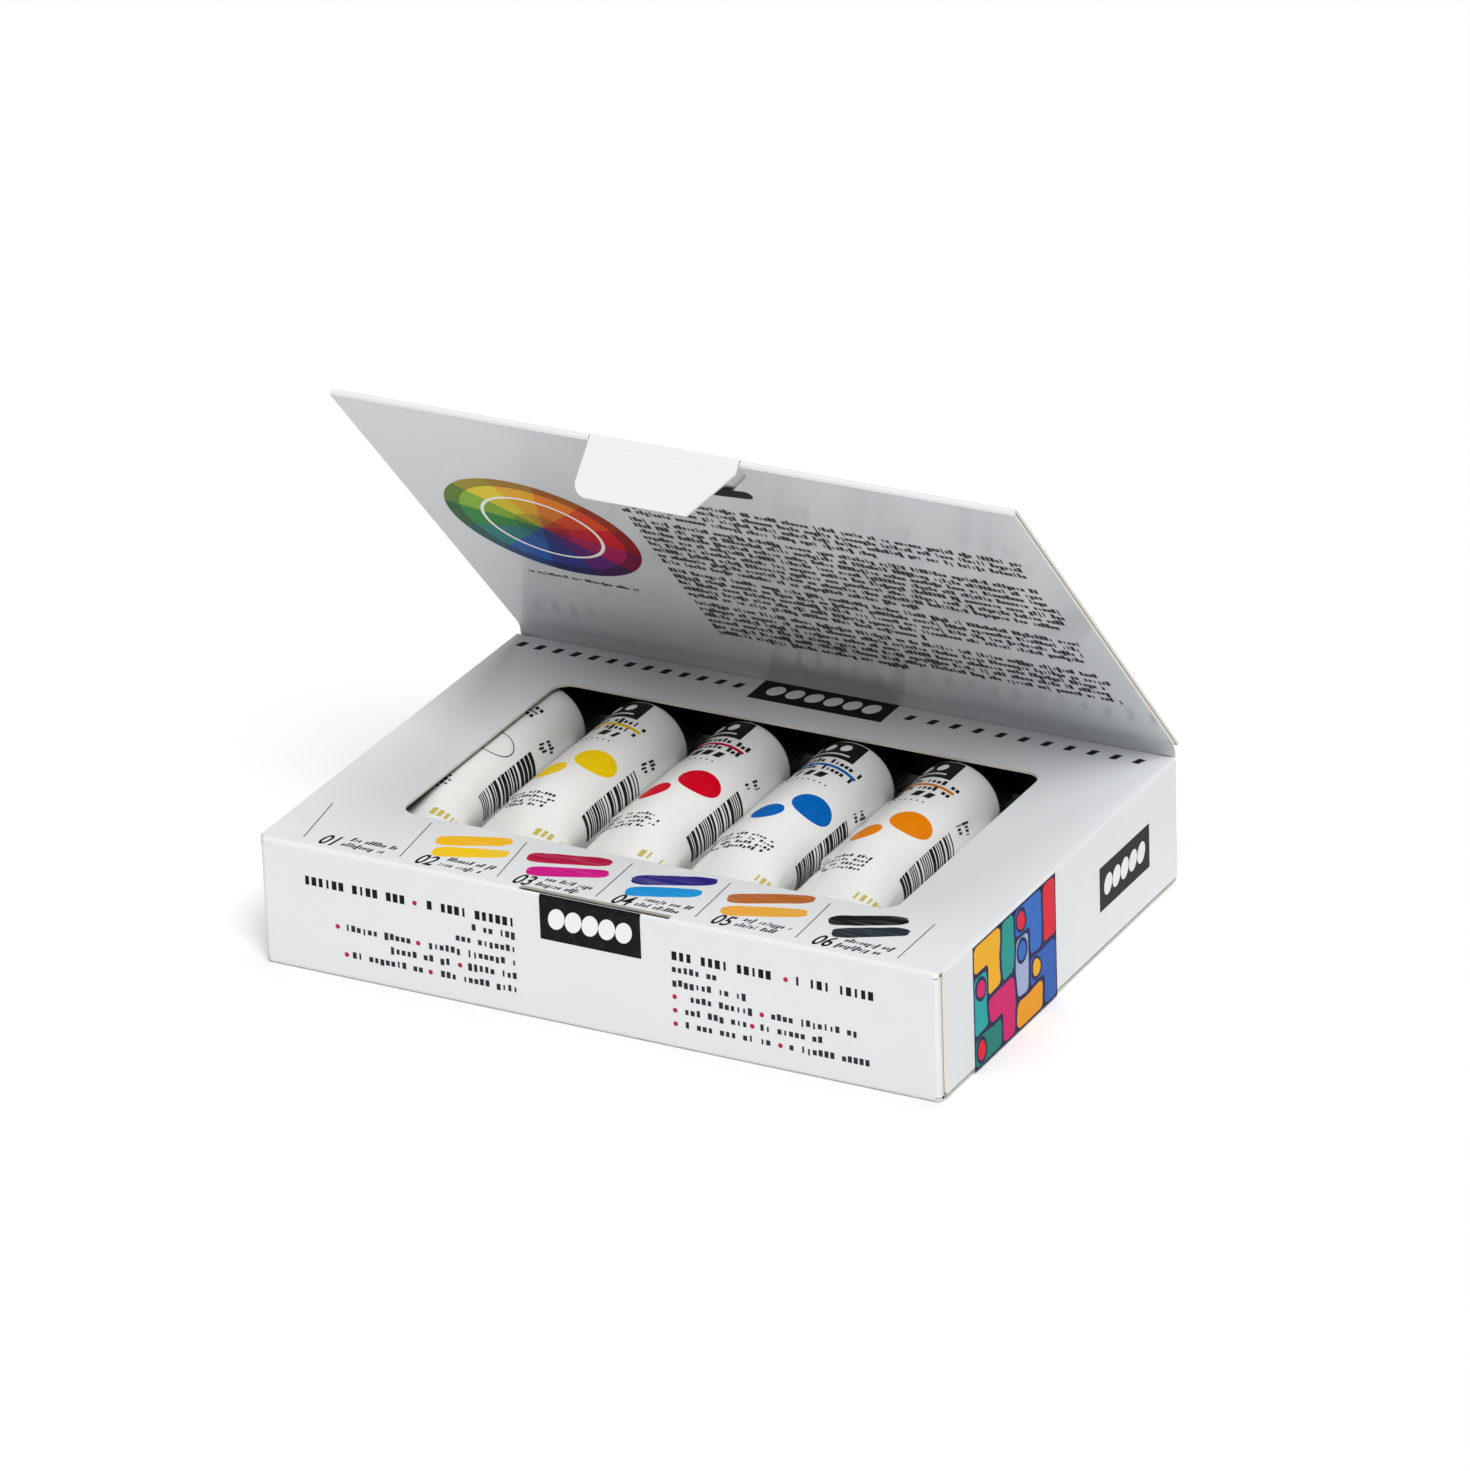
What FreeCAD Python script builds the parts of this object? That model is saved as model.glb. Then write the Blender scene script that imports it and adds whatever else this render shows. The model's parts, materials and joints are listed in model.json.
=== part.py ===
import FreeCAD, Part
import math
import os

from FreeCAD import Vector

# Gouache paint box: a folding carton with a window in its top panel and a cover lid,
# a formed tray inside it and a row of paint tubes in the tray.
# Millimetres, +Z up, +X to the right, the front faces -Y.
# The origin is on the table, under the middle of the carton.

# Board of the carton
board = 0.7
fold_radius = 1.2            # outside of a crease
layer_gap = 0.1              # between boards that lie against each other
cut_overrun = 5.0            # how far a cutting body passes the piece it cuts
same_point = 1e-6            # two points of an outline closer than this are one

# Tubes of paint, named from left to right
tube_colours = ("white", "yellow", "magenta", "cyan", "ochre", "black")
tube_radius = 11.0
tube_spacing = 6.2           # free width between two round ends
tube_roll = 15.0             # degrees each tube lies turned, so that the flat ends shingle
tube_wall = 0.25
round_length = 41.0          # rim of the shoulder to the start of the flattening
taper_length = 46.0          # from round to flat
taper_power = 1.8            # how late along the taper the skin comes down
girth_power = 1.67           # keeps the girth of the skin while it is pressed flat
taper_shares = (0.0, 0.08, 0.2, 0.36, 0.54, 0.72, 0.87, 1.0)
crimp_length = 5.0
crimp_thickness = 1.5
crimp_round = 0.5
paint_gap = 0.1              # between the paint and the skin

# Shoulder, neck and screw cap of a tube
shoulder_length = 3.0
shoulder_wall = 0.7
neck_radius = 4.6
neck_bore = 3.4
neck_length = 8.0
thread_rise = 0.4
thread_width = 1.0
thread_pitch = 2.0
thread_ridges = 3
cap_clearance = 0.2          # cap's bore to the crest of the thread
cap_gap = 0.3                # cap's rim to the end of the shoulder
cap_length = 14.5
cap_base_radius = 8.4
cap_top_radius = 7.3
cap_edge = 0.6
cap_end_wall = 1.4
cap_rim_band = 2.0           # plain band below the flutes
flute_count = 20
flute_radius = 0.7
flute_depth = 0.4

# Formed tray
tray_wall = 0.5
tray_lift = 8.4              # bottom board to the underside of the troughs
seat_gap = 0.3               # tube to tray
ridge_bulge = 0.2            # how far a ridge swells past the straight gap between troughs
ridge_setback = 2.0          # end of the ridges before the rim of the shoulder
rest_overlap = 4.0           # crimp rest under the last of the taper
tray_room = 0.5              # tray to the boards before and behind it
tray_end_room = 0.9          # tray to the dust flaps

# Free room around the tubes
end_room = 0.9               # outermost crimps to the dust flaps
front_room = 12.3            # crimps to the front wall
back_room = 3.7              # caps to the glue flap
head_room = 0.4              # tubes to the window panel

# Window
window_margin_left = 24.0
window_margin_right = 24.8
window_margin_front = 25.5
window_margin_back = 22.7
window_corner = 4.5

# Flaps of the carton
glue_flap_height = 18.0
glue_flap_inset = 3.0
flap_setback = 2.0           # end flaps, short of the front and back faces
tuck_length = 10.0
tuck_setback = 4.0
tuck_corner = 5.0
tuck_clearance = 0.3         # tuck to the bottom panel
tuck_spare_angle = 3.0       # lift of the tuck past what its swing needs
tuck_room = 0.5              # tuck to tray and dust flaps
dust_length = 28.0
dust_taper = 4.0
dust_relief = 0.2

# Lid
lid_open_angle = 48.3        # degrees from level, as it stands
crease_rise = 3.2            # the soft crease stands this far above the window panel
lid_front_setback = 1.0
lid_inset_left = 1.2
lid_inset_right = 0.1
lid_layer_gap = 0.3          # lining to the outer panel
lid_clearance = 0.3          # closed lid to the window panel
lining_setback = 2.5         # lining to the crease

# Tongue of the lid and its slot
tongue_width = 39.0
tongue_length = 15.6
tongue_corner = 4.0
tongue_chamfer_width = 8.8
tongue_chamfer_length = 12.0
tongue_spare_angle = 1.5     # lean of the tongue past what its swing needs
fold_allowance = 1.6         # cut-out in the lining, longer than the tongue by its fold
slit_width = 1.3             # slit at the far end of the cut-out
slit_overhang = 4.5          # slit past the tip of the tongue, on the right
tongue_gap = 0.3             # tongue to the edges cut for it
tongue_room = 0.5            # closed tongue to the tray

# Sizes that follow for one tube
roll = math.radians(tube_roll)
tube_count = len(tube_colours)
tube_pitch = 2 * tube_radius + tube_spacing
flat_half_height = crimp_thickness / 2 - tube_wall


def flat_half_width(half_height):
    # half the width of the skin when it is pressed to this half height
    quarter_turn = math.pi / 2
    height_share = (half_height / tube_radius) ** girth_power
    return tube_radius * (quarter_turn - (quarter_turn - 1) * height_share)


crimp_half_width = flat_half_width(flat_half_height) + tube_wall
crimp_reach = crimp_half_width * math.cos(roll) + crimp_thickness / 2 * math.sin(roll)
crimp_drop = crimp_half_width * math.sin(roll) + crimp_thickness / 2 * math.cos(roll)

# Outside of the carton, built around its contents
end_boards = 2 * board + layer_gap
back_boards = 2 * board + layer_gap
box_width = (tube_count - 1) * tube_pitch + 2 * (crimp_reach + end_room + end_boards)
tube_total = crimp_length + taper_length + round_length + shoulder_length + cap_gap + cap_length
box_depth = board + front_room + tube_total + back_room + back_boards
box_height = board + tray_lift + tray_wall + seat_gap + 2 * tube_radius + head_room + board

half_width = box_width / 2
front = -box_depth / 2
back = box_depth / 2
end_face = half_width - board - layer_gap
fold_inner = fold_radius - board

# Places of the tubes
tube_places = [(number - (tube_count - 1) / 2) * tube_pitch for number in range(tube_count)]
tube_axis_z = box_height - board - head_room - tube_radius
cap_start_y = back - back_boards - back_room - cap_length
rim_y = cap_start_y - cap_gap - shoulder_length
round_y = rim_y - round_length
flat_y = round_y - taper_length
crimp_y = flat_y - crimp_length

# Hinge of the lid, at the outer corner of its crease
nose_radius = board + lid_layer_gap / 2
hinge_y = back
hinge_z = box_height + crease_rise
lid_length = box_depth - lid_front_setback
lid_edge_y = hinge_y - lid_length
lid_left_x = lid_inset_left - half_width
lid_right_x = half_width - lid_inset_right
lid_drop = math.asin((crease_rise - 2 * nose_radius - lid_clearance) / lid_length)
lid_closing_angle = lid_open_angle + math.degrees(lid_drop)

# Crease of the tongue, on the free edge of the open lid
tongue_axis_y = hinge_y - lid_length * math.cos(math.radians(lid_open_angle))
tongue_axis_z = hinge_z + lid_length * math.sin(math.radians(lid_open_angle))

# The tongue leans back far enough to swing in behind the front wall
tongue_lean = math.asin(tongue_length / (2 * lid_length)) + math.radians(tongue_spare_angle)
tongue_fold_angle = 90 + math.degrees(tongue_lean)
slot_front_y = lid_edge_y - tongue_gap
slot_back_y = hinge_y - lid_length * math.cos(tongue_lean) + board + tongue_gap
closed_lean = tongue_lean + lid_drop
tongue_reach = board * math.cos(closed_lean) + tongue_length * math.sin(closed_lean)

# The tuck of an end flap is lifted far enough to swing out over the bottom panel
tuck_z = board + tuck_clearance
tuck_swing = box_height - tuck_z
tuck_lift = math.asin(tuck_length / (2 * tuck_swing)) + math.radians(tuck_spare_angle)
tuck_centre = (half_width - fold_radius, tuck_z + fold_radius)
tuck_normal = (-math.sin(tuck_lift), -math.cos(tuck_lift))
tuck_along = (-math.cos(tuck_lift), math.sin(tuck_lift))
tuck_tip_x = tuck_centre[0] + fold_radius * tuck_normal[0] + tuck_length * tuck_along[0]
tuck_top_z = tuck_centre[1] + fold_inner * tuck_normal[1] + tuck_length * tuck_along[1]
tuck_half_depth = back - flap_setback - tuck_setback
over_tuck_z = tuck_top_z + tuck_room

along_x = Vector(1, 0, 0)
along_y = Vector(0, 1, 0)
along_z = Vector(0, 0, 1)
right, up, left, down = (1, 0), (0, 1), (-1, 0), (0, -1)


def xy(x, y):
    return Vector(x, y, 0)


def xz(x, z):
    return Vector(x, 0, z)


def yz(y, z):
    return Vector(0, y, z)


def bend(centre, radius, start, end, plane):
    # middle and end of an arc about the centre, from one direction to another
    middle = (start[0] + end[0], start[1] + end[1])
    middle_size = math.hypot(*middle)
    middle_reach = (radius * middle[0] / middle_size, radius * middle[1] / middle_size)
    return (
        plane(centre[0] + middle_reach[0], centre[1] + middle_reach[1]),
        plane(centre[0] + radius * end[0], centre[1] + radius * end[1]),
    )


def face_of(path):
    # closed outline: a point is reached by a straight line, a pair of points by an arc
    edges = []
    start = path[0]
    for step in path[1:] + path[:1]:
        if isinstance(step, tuple):
            middle, end = step
            edges.append(Part.Arc(start, middle, end).toShape())
        else:
            end = step
            if not start.isEqual(end, same_point):
                edges.append(Part.LineSegment(start, end).toShape())
        start = end
    return Part.Face(Part.Wire(edges))


def prism(face, axis, start, end):
    moved = face.copy()
    moved.translate(axis * start)
    return moved.extrude(axis * (end - start))


def block(low, high):
    sizes = [top - bottom for bottom, top in zip(low, high)]
    return Part.makeBox(*sizes, Vector(*low))


def rounded_rectangle(low, high, radius):
    inner_low = (low[0] + radius, low[1] + radius)
    inner_high = (high[0] - radius, high[1] - radius)
    return face_of([
        xy(inner_low[0], low[1]),
        xy(inner_high[0], low[1]),
        bend((inner_high[0], inner_low[1]), radius, down, right, xy),
        xy(high[0], inner_high[1]),
        bend(inner_high, radius, right, up, xy),
        xy(inner_low[0], high[1]),
        bend((inner_low[0], inner_high[1]), radius, up, left, xy),
        xy(low[0], inner_low[1]),
        bend(inner_low, radius, left, down, xy),
    ])


def mirrored(shape, normal):
    return shape.mirror(Vector(), normal)


# Walls of the carton

def slot_cut():
    half_slot = tongue_width / 2 + tongue_gap
    return block(
        (-half_slot, slot_front_y, box_height - fold_radius - cut_overrun),
        (half_slot, slot_back_y, box_height + cut_overrun),
    )


def bottom_panel():
    return block((-end_face, front + fold_radius, 0), (end_face, back - fold_radius, board))


def front_wall():
    low = (front + fold_radius, fold_radius)
    high = (front + fold_radius, box_height - fold_radius)
    section = face_of([
        yz(low[0], 0),
        bend(low, fold_radius, down, left, yz),
        yz(front, high[1]),
        bend(high, fold_radius, left, up, yz),
        yz(high[0], box_height - board),
        bend(high, fold_inner, up, left, yz),
        yz(front + board, low[1]),
        bend(low, fold_inner, left, down, yz),
    ])
    wall = prism(section, along_x, fold_radius - end_face, end_face - fold_radius)
    return wall.cut(slot_cut())


def back_wall():
    low = (back - fold_radius, fold_radius)
    crease_z = hinge_z - board - layer_gap
    section = face_of([
        yz(low[0], 0),
        bend(low, fold_radius, down, right, yz),
        yz(back, crease_z),
        yz(back - board, crease_z),
        yz(back - board, low[1]),
        bend(low, fold_inner, right, down, yz),
    ])
    return prism(section, along_x, fold_radius - end_face, end_face - fold_radius)


def top_window_panel():
    panel = block(
        (-end_face, front + fold_radius, box_height - board),
        (end_face, back - board - layer_gap - fold_radius, box_height),
    )
    window = rounded_rectangle(
        (window_margin_left - half_width, front + window_margin_front),
        (half_width - window_margin_right, back - window_margin_back),
        window_corner,
    )
    through = prism(window, along_z, box_height - board - cut_overrun, box_height + cut_overrun)
    return panel.cut(through).cut(slot_cut())


def back_glue_flap():
    face_y = back - board - layer_gap
    high = (face_y - fold_radius, box_height - fold_radius)
    section = face_of([
        yz(high[0], box_height),
        bend(high, fold_radius, up, right, yz),
        yz(face_y, box_height - glue_flap_height),
        yz(face_y - board, box_height - glue_flap_height),
        yz(face_y - board, high[1]),
        bend(high, fold_inner, right, up, yz),
    ])
    reach = end_face - fold_radius - glue_flap_inset
    return prism(section, along_x, -reach, reach)


def dust_flap():
    # front right one, folded in from the front wall
    corner = (end_face - fold_radius, front + fold_radius)
    tip_y = front + dust_length
    section = face_of([
        xy(corner[0], front),
        bend(corner, fold_radius, down, right, xy),
        xy(end_face, tip_y),
        xy(end_face - board, tip_y),
        xy(end_face - board, corner[1]),
        bend(corner, fold_inner, right, down, xy),
    ])
    low_z = fold_radius + dust_relief
    high_z = box_height - fold_radius - dust_relief
    root_y = front + flap_setback + tuck_setback / 2
    outline = face_of([
        yz(front, low_z),
        yz(root_y, low_z),
        yz(root_y, over_tuck_z),
        yz(tip_y, over_tuck_z + dust_taper),
        yz(tip_y, high_z - dust_taper),
        yz(root_y, high_z),
        yz(front, high_z),
    ])
    return prism(section, along_z, low_z, high_z).common(prism(outline, along_x, 0, half_width))


# End closing flap and its tuck, on the right

def end_flap():
    corner = (half_width - board, box_height - board)
    section = face_of([
        xz(corner[0], box_height),
        bend(corner, board, up, right, xz),
        xz(half_width, tuck_centre[1]),
        xz(half_width - board, tuck_centre[1]),
    ])
    return prism(section, along_y, front + flap_setback, back - flap_setback)


def tuck_flap():
    inner_root = [centre + fold_inner * side for centre, side in zip(tuck_centre, tuck_normal)]
    outer_root = [centre + fold_radius * side for centre, side in zip(tuck_centre, tuck_normal)]
    inner_tip = [root + tuck_length * side for root, side in zip(inner_root, tuck_along)]
    outer_tip = [root + tuck_length * side for root, side in zip(outer_root, tuck_along)]
    section = face_of([
        xz(half_width, tuck_centre[1]),
        bend(tuck_centre, fold_radius, right, tuck_normal, xz),
        xz(*outer_tip),
        xz(*inner_tip),
        xz(*inner_root),
        bend(tuck_centre, fold_inner, tuck_normal, right, xz),
    ])
    plan = rounded_rectangle(
        (outer_tip[0], -tuck_half_depth),
        (half_width + cut_overrun + tuck_corner, tuck_half_depth),
        tuck_corner,
    )
    flap = prism(section, along_y, -tuck_half_depth, tuck_half_depth)
    return flap.common(prism(plan, along_z, 0, box_height))


# Lid and tongue, drawn closed and then opened

def opened(shape):
    shape.rotate(yz(hinge_y, hinge_z), along_x, -lid_open_angle)
    return shape


def lid_outer_panel():
    nose = (lid_edge_y + nose_radius, hinge_z - nose_radius)
    section = face_of([
        yz(hinge_y, hinge_z),
        yz(nose[0], hinge_z),
        bend(nose, nose_radius, up, left, yz),
        bend(nose, nose_radius, left, down, yz),
        yz(nose[0], hinge_z - board),
        yz(hinge_y, hinge_z - board),
    ])
    panel = prism(section, along_x, lid_left_x, lid_right_x)
    half_notch = tongue_width / 2 + tongue_gap
    notch = block(
        (-half_notch, lid_edge_y - cut_overrun, hinge_z - 2 * nose_radius - cut_overrun),
        (half_notch, lid_edge_y + board + tongue_gap, hinge_z + cut_overrun),
    )
    return opened(panel.cut(notch))


def tongue_outline(way, grow, lengthen):
    # way is -1 out past the free edge of the lid and 1 back over the lining
    half = tongue_width / 2 + grow
    tip = tongue_length + grow + lengthen
    corner = (-half + tongue_corner, lid_edge_y + way * (tip - tongue_corner))
    return face_of([
        xy(-half, lid_edge_y),
        xy(-half, corner[1]),
        bend(corner, tongue_corner, left, (0, way), xy),
        xy(half - tongue_chamfer_width, lid_edge_y + way * tip),
        xy(half, lid_edge_y + way * (tip - tongue_chamfer_length)),
        xy(half, lid_edge_y),
    ])


def lid_lining():
    low_z = hinge_z - 2 * nose_radius
    panel = block(
        (lid_left_x, lid_edge_y + nose_radius + layer_gap, low_z),
        (lid_right_x, hinge_y - lining_setback, low_z + board),
    )
    outline = tongue_outline(1, tongue_gap, fold_allowance)
    cut_out = prism(outline, along_z, low_z - cut_overrun, hinge_z)
    slit_end_y = outline.BoundBox.YMax
    slit_end_x = tongue_width / 2 - tongue_chamfer_width + slit_overhang
    slit = block((0, slit_end_y - slit_width, low_z - cut_overrun), (slit_end_x, slit_end_y, hinge_z))
    return opened(panel.cut([cut_out, slit]))


def lid_tongue():
    tongue = prism(tongue_outline(-1, 0, 0), along_z, hinge_z - board, hinge_z)
    tongue.rotate(yz(lid_edge_y, hinge_z), along_x, tongue_fold_angle)
    return opened(tongue)


# Formed tray

def ridged_section(inset):
    # outline across the tubes: troughs and ridges are arcs that run into each other
    trough_radius = tube_radius + seat_gap + inset
    ridge_radius = tube_spacing / 2 - seat_gap + ridge_bulge - inset
    half_pitch = tube_pitch / 2
    centre_distance = trough_radius + ridge_radius
    ridge_drop = math.sqrt(centre_distance ** 2 - half_pitch ** 2)
    ridge_z = tube_axis_z - ridge_drop
    to_right = (half_pitch / centre_distance, -ridge_drop / centre_distance)
    to_left = (-to_right[0], to_right[1])
    top_z = ridge_z + ridge_radius
    far_x = tube_places[-1] + tube_pitch
    path = [xz(-far_x, 0), xz(-far_x, top_z), xz(tube_places[0] - half_pitch, top_z)]
    for place in tube_places:
        ridge_left = (place - half_pitch, ridge_z)
        ridge_right = (place + half_pitch, ridge_z)
        trough = (place, tube_axis_z)
        path.append(bend(ridge_left, ridge_radius, up, (-to_left[0], -to_left[1]), xz))
        path.append(bend(trough, trough_radius, to_left, down, xz))
        path.append(bend(trough, trough_radius, down, to_right, xz))
        path.append(bend(ridge_right, ridge_radius, (-to_right[0], -to_right[1]), up, xz))
    path += [xz(far_x, top_z), xz(far_x, 0)]
    return face_of(path)


def tray_body(inset, floor_z):
    # filled form of the tray, drawn in by the inset on every side but the floor
    edge_x = end_face - board - tray_end_room - inset
    shelf_z = tube_axis_z - tube_radius - seat_gap - inset
    rest_z = tube_axis_z - crimp_drop - seat_gap - inset
    front_y = lid_edge_y + tongue_reach + tongue_room + inset
    back_y = back - back_boards - tray_room - inset
    ridges = prism(ridged_section(inset), along_y, round_y + inset, rim_y - ridge_setback - inset)
    ridges = ridges.common(block((-edge_x, front_y, 0), (edge_x, back_y, box_height)))
    shelf = block((-edge_x, front_y, 0), (edge_x, back_y, shelf_z))
    crimp_rest = block((-edge_x, front_y, 0), (edge_x, flat_y + rest_overlap - inset, rest_z))
    under = block((-box_width, front, -cut_overrun), (box_width, back, floor_z))
    return ridges.fuse([shelf, crimp_rest]).cut(under)


def formed_tray():
    floor_z = board + layer_gap
    tray = tray_body(0, floor_z).cut(tray_body(tray_wall, 0))
    over_right_tuck = block((tuck_tip_x - tuck_room, front, 0), (half_width, back, over_tuck_z))
    over_tucks = [over_right_tuck, mirrored(over_right_tuck, along_x)]
    return tray.cut(over_tucks).removeSplitter()


# One tube, drawn on the Y axis and then turned and set in its trough

def taper(inset, end_y):
    wires = []
    for share in taper_shares:
        fall = 1 - share ** taper_power
        half_height = flat_half_height + (tube_radius - flat_half_height) * fall
        half_wide = flat_half_width(half_height)
        centre = Vector(0, round_y + share * (end_y - round_y), 0)
        side = centre + along_x * (half_wide - inset)
        top = centre + along_z * (half_height - inset)
        wires.append(Part.Wire([Part.Ellipse(side, top, centre).toShape()]))
    return Part.makeLoft(wires, True, False)


def turned(points):
    # solid of revolution about the Y axis
    return face_of([xy(*point) for point in points]).revolve(Vector(), along_y, 360)


def set_in_place(shape, place):
    moved = shape.copy()
    moved.rotate(Vector(), along_y, -tube_roll)
    moved.translate(Vector(place, 0, tube_axis_z))
    return moved


def thread_ridge(number):
    middle = cap_start_y + thread_pitch * (number + 1)
    return turned([
        (neck_bore, middle - thread_width / 2),
        (neck_radius, middle - thread_width / 2),
        (neck_radius + thread_rise, middle),
        (neck_radius, middle + thread_width / 2),
        (neck_bore, middle + thread_width / 2),
    ])


def tube_skin():
    neck_end = cap_start_y + neck_length
    shoulder_end = rim_y + shoulder_length
    outside = turned([
        (0, round_y),
        (tube_radius, round_y),
        (tube_radius, rim_y),
        (neck_radius, shoulder_end),
        (neck_radius, neck_end),
        (0, neck_end),
    ])
    inside = turned([
        (0, round_y),
        (tube_radius - tube_wall, round_y),
        (tube_radius - tube_wall, rim_y - shoulder_wall),
        (neck_bore, shoulder_end - shoulder_wall),
        (neck_bore, neck_end + cut_overrun),
        (0, neck_end + cut_overrun),
    ])
    crimp = block(
        (-crimp_half_width, crimp_y, -crimp_thickness / 2),
        (crimp_half_width, flat_y, crimp_thickness / 2),
    )
    end_edges = [edge for edge in crimp.Edges if edge.BoundBox.YMax < flat_y - crimp_round]
    crimp = crimp.makeFillet(crimp_round, end_edges)
    ridges = [thread_ridge(number) for number in range(thread_ridges)]
    solid = outside.fuse([taper(0, flat_y), crimp] + ridges)
    hollow = inside.fuse(taper(tube_wall, flat_y + tube_wall))
    return solid.cut(hollow).removeSplitter()


def paint_fill():
    inset = tube_wall + paint_gap
    shoulder_end = rim_y + shoulder_length - shoulder_wall - paint_gap
    body = turned([
        (0, round_y),
        (tube_radius - inset, round_y),
        (tube_radius - inset, rim_y - shoulder_wall - paint_gap),
        (neck_bore - paint_gap, shoulder_end),
        (0, shoulder_end),
    ])
    return body.fuse(taper(inset, flat_y + inset)).removeSplitter()


def screw_cap():
    bore = neck_radius + thread_rise + cap_clearance
    cap_end_y = cap_start_y + cap_length
    cap = turned([
        (bore, cap_start_y),
        (cap_base_radius, cap_start_y),
        (cap_top_radius, cap_end_y - cap_edge),
        (cap_top_radius - cap_edge, cap_end_y),
        (0, cap_end_y),
        (0, cap_end_y - cap_end_wall),
        (bore, cap_end_y - cap_end_wall),
    ])
    slope = math.degrees(math.atan2(cap_base_radius - cap_top_radius, cap_length - cap_edge))
    flutes = []
    for number in range(flute_count):
        groove = Part.makeCylinder(flute_radius, cap_length + cut_overrun, Vector(), along_y)
        groove.rotate(Vector(), along_z, slope)
        start_share = cap_rim_band / (cap_length - cap_edge)
        start_radius = cap_base_radius + (cap_top_radius - cap_base_radius) * start_share
        groove.translate(Vector(start_radius + flute_radius - flute_depth, cap_start_y + cap_rim_band, 0))
        groove.rotate(Vector(), along_y, 360 * number / flute_count)
        flutes.append(groove)
    return cap.cut(flutes)


parts = {
    "bottom_panel": bottom_panel(),
    "front_wall": front_wall(),
    "back_wall": back_wall(),
    "top_window_panel": top_window_panel(),
    "back_glue_flap": back_glue_flap(),
    "lid_outer_panel": lid_outer_panel(),
    "lid_lining": lid_lining(),
    "lid_tongue": lid_tongue(),
    "formed_tray": formed_tray(),
}

dust = dust_flap()
parts["front_dust_flap_right"] = dust
parts["front_dust_flap_left"] = mirrored(dust, along_x)
parts["back_dust_flap_right"] = mirrored(dust, along_y)
parts["back_dust_flap_left"] = mirrored(parts["back_dust_flap_right"], along_x)

for side, turn in (("right", False), ("left", True)):
    for name, flap in (("end_flap", end_flap()), ("tuck_flap", tuck_flap())):
        parts[side + "_" + name] = mirrored(flap, along_x) if turn else flap

skin, paint, cap = tube_skin(), paint_fill(), screw_cap()
for colour, place in zip(tube_colours, tube_places):
    parts[colour + "_tube"] = set_in_place(skin, place)
    parts[colour + "_paint"] = set_in_place(paint, place)
    parts[colour + "_cap"] = set_in_place(cap, place)

os.makedirs("parts", exist_ok=True)
for name, shape in parts.items():
    solids = shape.Solids
    print(name, len(solids), shape.isValid(), round(shape.Volume, 1), shape.BoundBox)
    shape.exportStep("parts/" + name + ".step")
print("carton", box_width, box_depth, box_height)
print("lid hinge", hinge_y, hinge_z, "closes by", lid_closing_angle)
print("tongue folds by", tongue_fold_angle, "about", tongue_axis_y, tongue_axis_z)
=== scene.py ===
import bpy
import json
import math
import random
from mathutils import Matrix, Vector, noise


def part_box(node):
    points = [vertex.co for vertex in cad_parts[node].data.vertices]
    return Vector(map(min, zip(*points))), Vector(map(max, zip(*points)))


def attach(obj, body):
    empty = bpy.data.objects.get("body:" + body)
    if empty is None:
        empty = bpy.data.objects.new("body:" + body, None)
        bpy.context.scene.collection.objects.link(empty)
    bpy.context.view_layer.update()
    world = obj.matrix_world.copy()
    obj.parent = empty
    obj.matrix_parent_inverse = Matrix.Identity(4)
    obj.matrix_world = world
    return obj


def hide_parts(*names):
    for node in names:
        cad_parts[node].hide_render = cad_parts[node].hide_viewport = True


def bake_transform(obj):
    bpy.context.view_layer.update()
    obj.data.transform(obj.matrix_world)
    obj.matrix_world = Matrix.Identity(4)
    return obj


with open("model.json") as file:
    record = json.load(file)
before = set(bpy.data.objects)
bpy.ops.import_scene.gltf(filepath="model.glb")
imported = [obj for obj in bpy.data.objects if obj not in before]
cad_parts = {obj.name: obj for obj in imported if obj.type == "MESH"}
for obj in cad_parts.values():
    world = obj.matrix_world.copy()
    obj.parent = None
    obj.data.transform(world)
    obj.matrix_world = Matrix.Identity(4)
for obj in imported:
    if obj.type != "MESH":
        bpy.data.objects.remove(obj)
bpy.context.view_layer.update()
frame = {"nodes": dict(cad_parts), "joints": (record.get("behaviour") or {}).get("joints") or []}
mm = 0.001

# Places read from the frame
joints = {joint["name"]: joint for joint in frame["joints"]}
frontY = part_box("front_wall")[0].y
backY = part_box("back_wall")[1].y
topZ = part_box("top_window_panel")[1].z
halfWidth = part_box("right_end_flap")[1].x
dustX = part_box("front_dust_flap_right")[1].x
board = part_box("bottom_panel")[1].z
acrossX, acrossY, upZ = Vector((1, 0, 0)), Vector((0, 1, 0)), Vector((0, 0, 1))
lidHinge = Vector(joints["lid_hinge"]["pos_m"])
tongueCrease = Vector(joints["tongue_fold"]["pos_m"])
lidAlong = (tongueCrease - lidHinge).normalized()     # hinge to free edge
lidInward = acrossX.cross(lidAlong)                   # out of the lining, towards the box
lidLength = (tongueCrease - lidHinge).length
lidThick = max((v.co - lidHinge).dot(lidInward) for v in frame["nodes"]["lid_lining"].data.vertices)
foldAngle = math.radians(-joints["tongue_fold"]["range_deg"][0])
tongueOut = lidAlong * math.sin(foldAngle) - lidInward * math.cos(foldAngle)
tongueDown = lidAlong * math.cos(foldAngle) + lidInward * math.sin(foldAngle)

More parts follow.
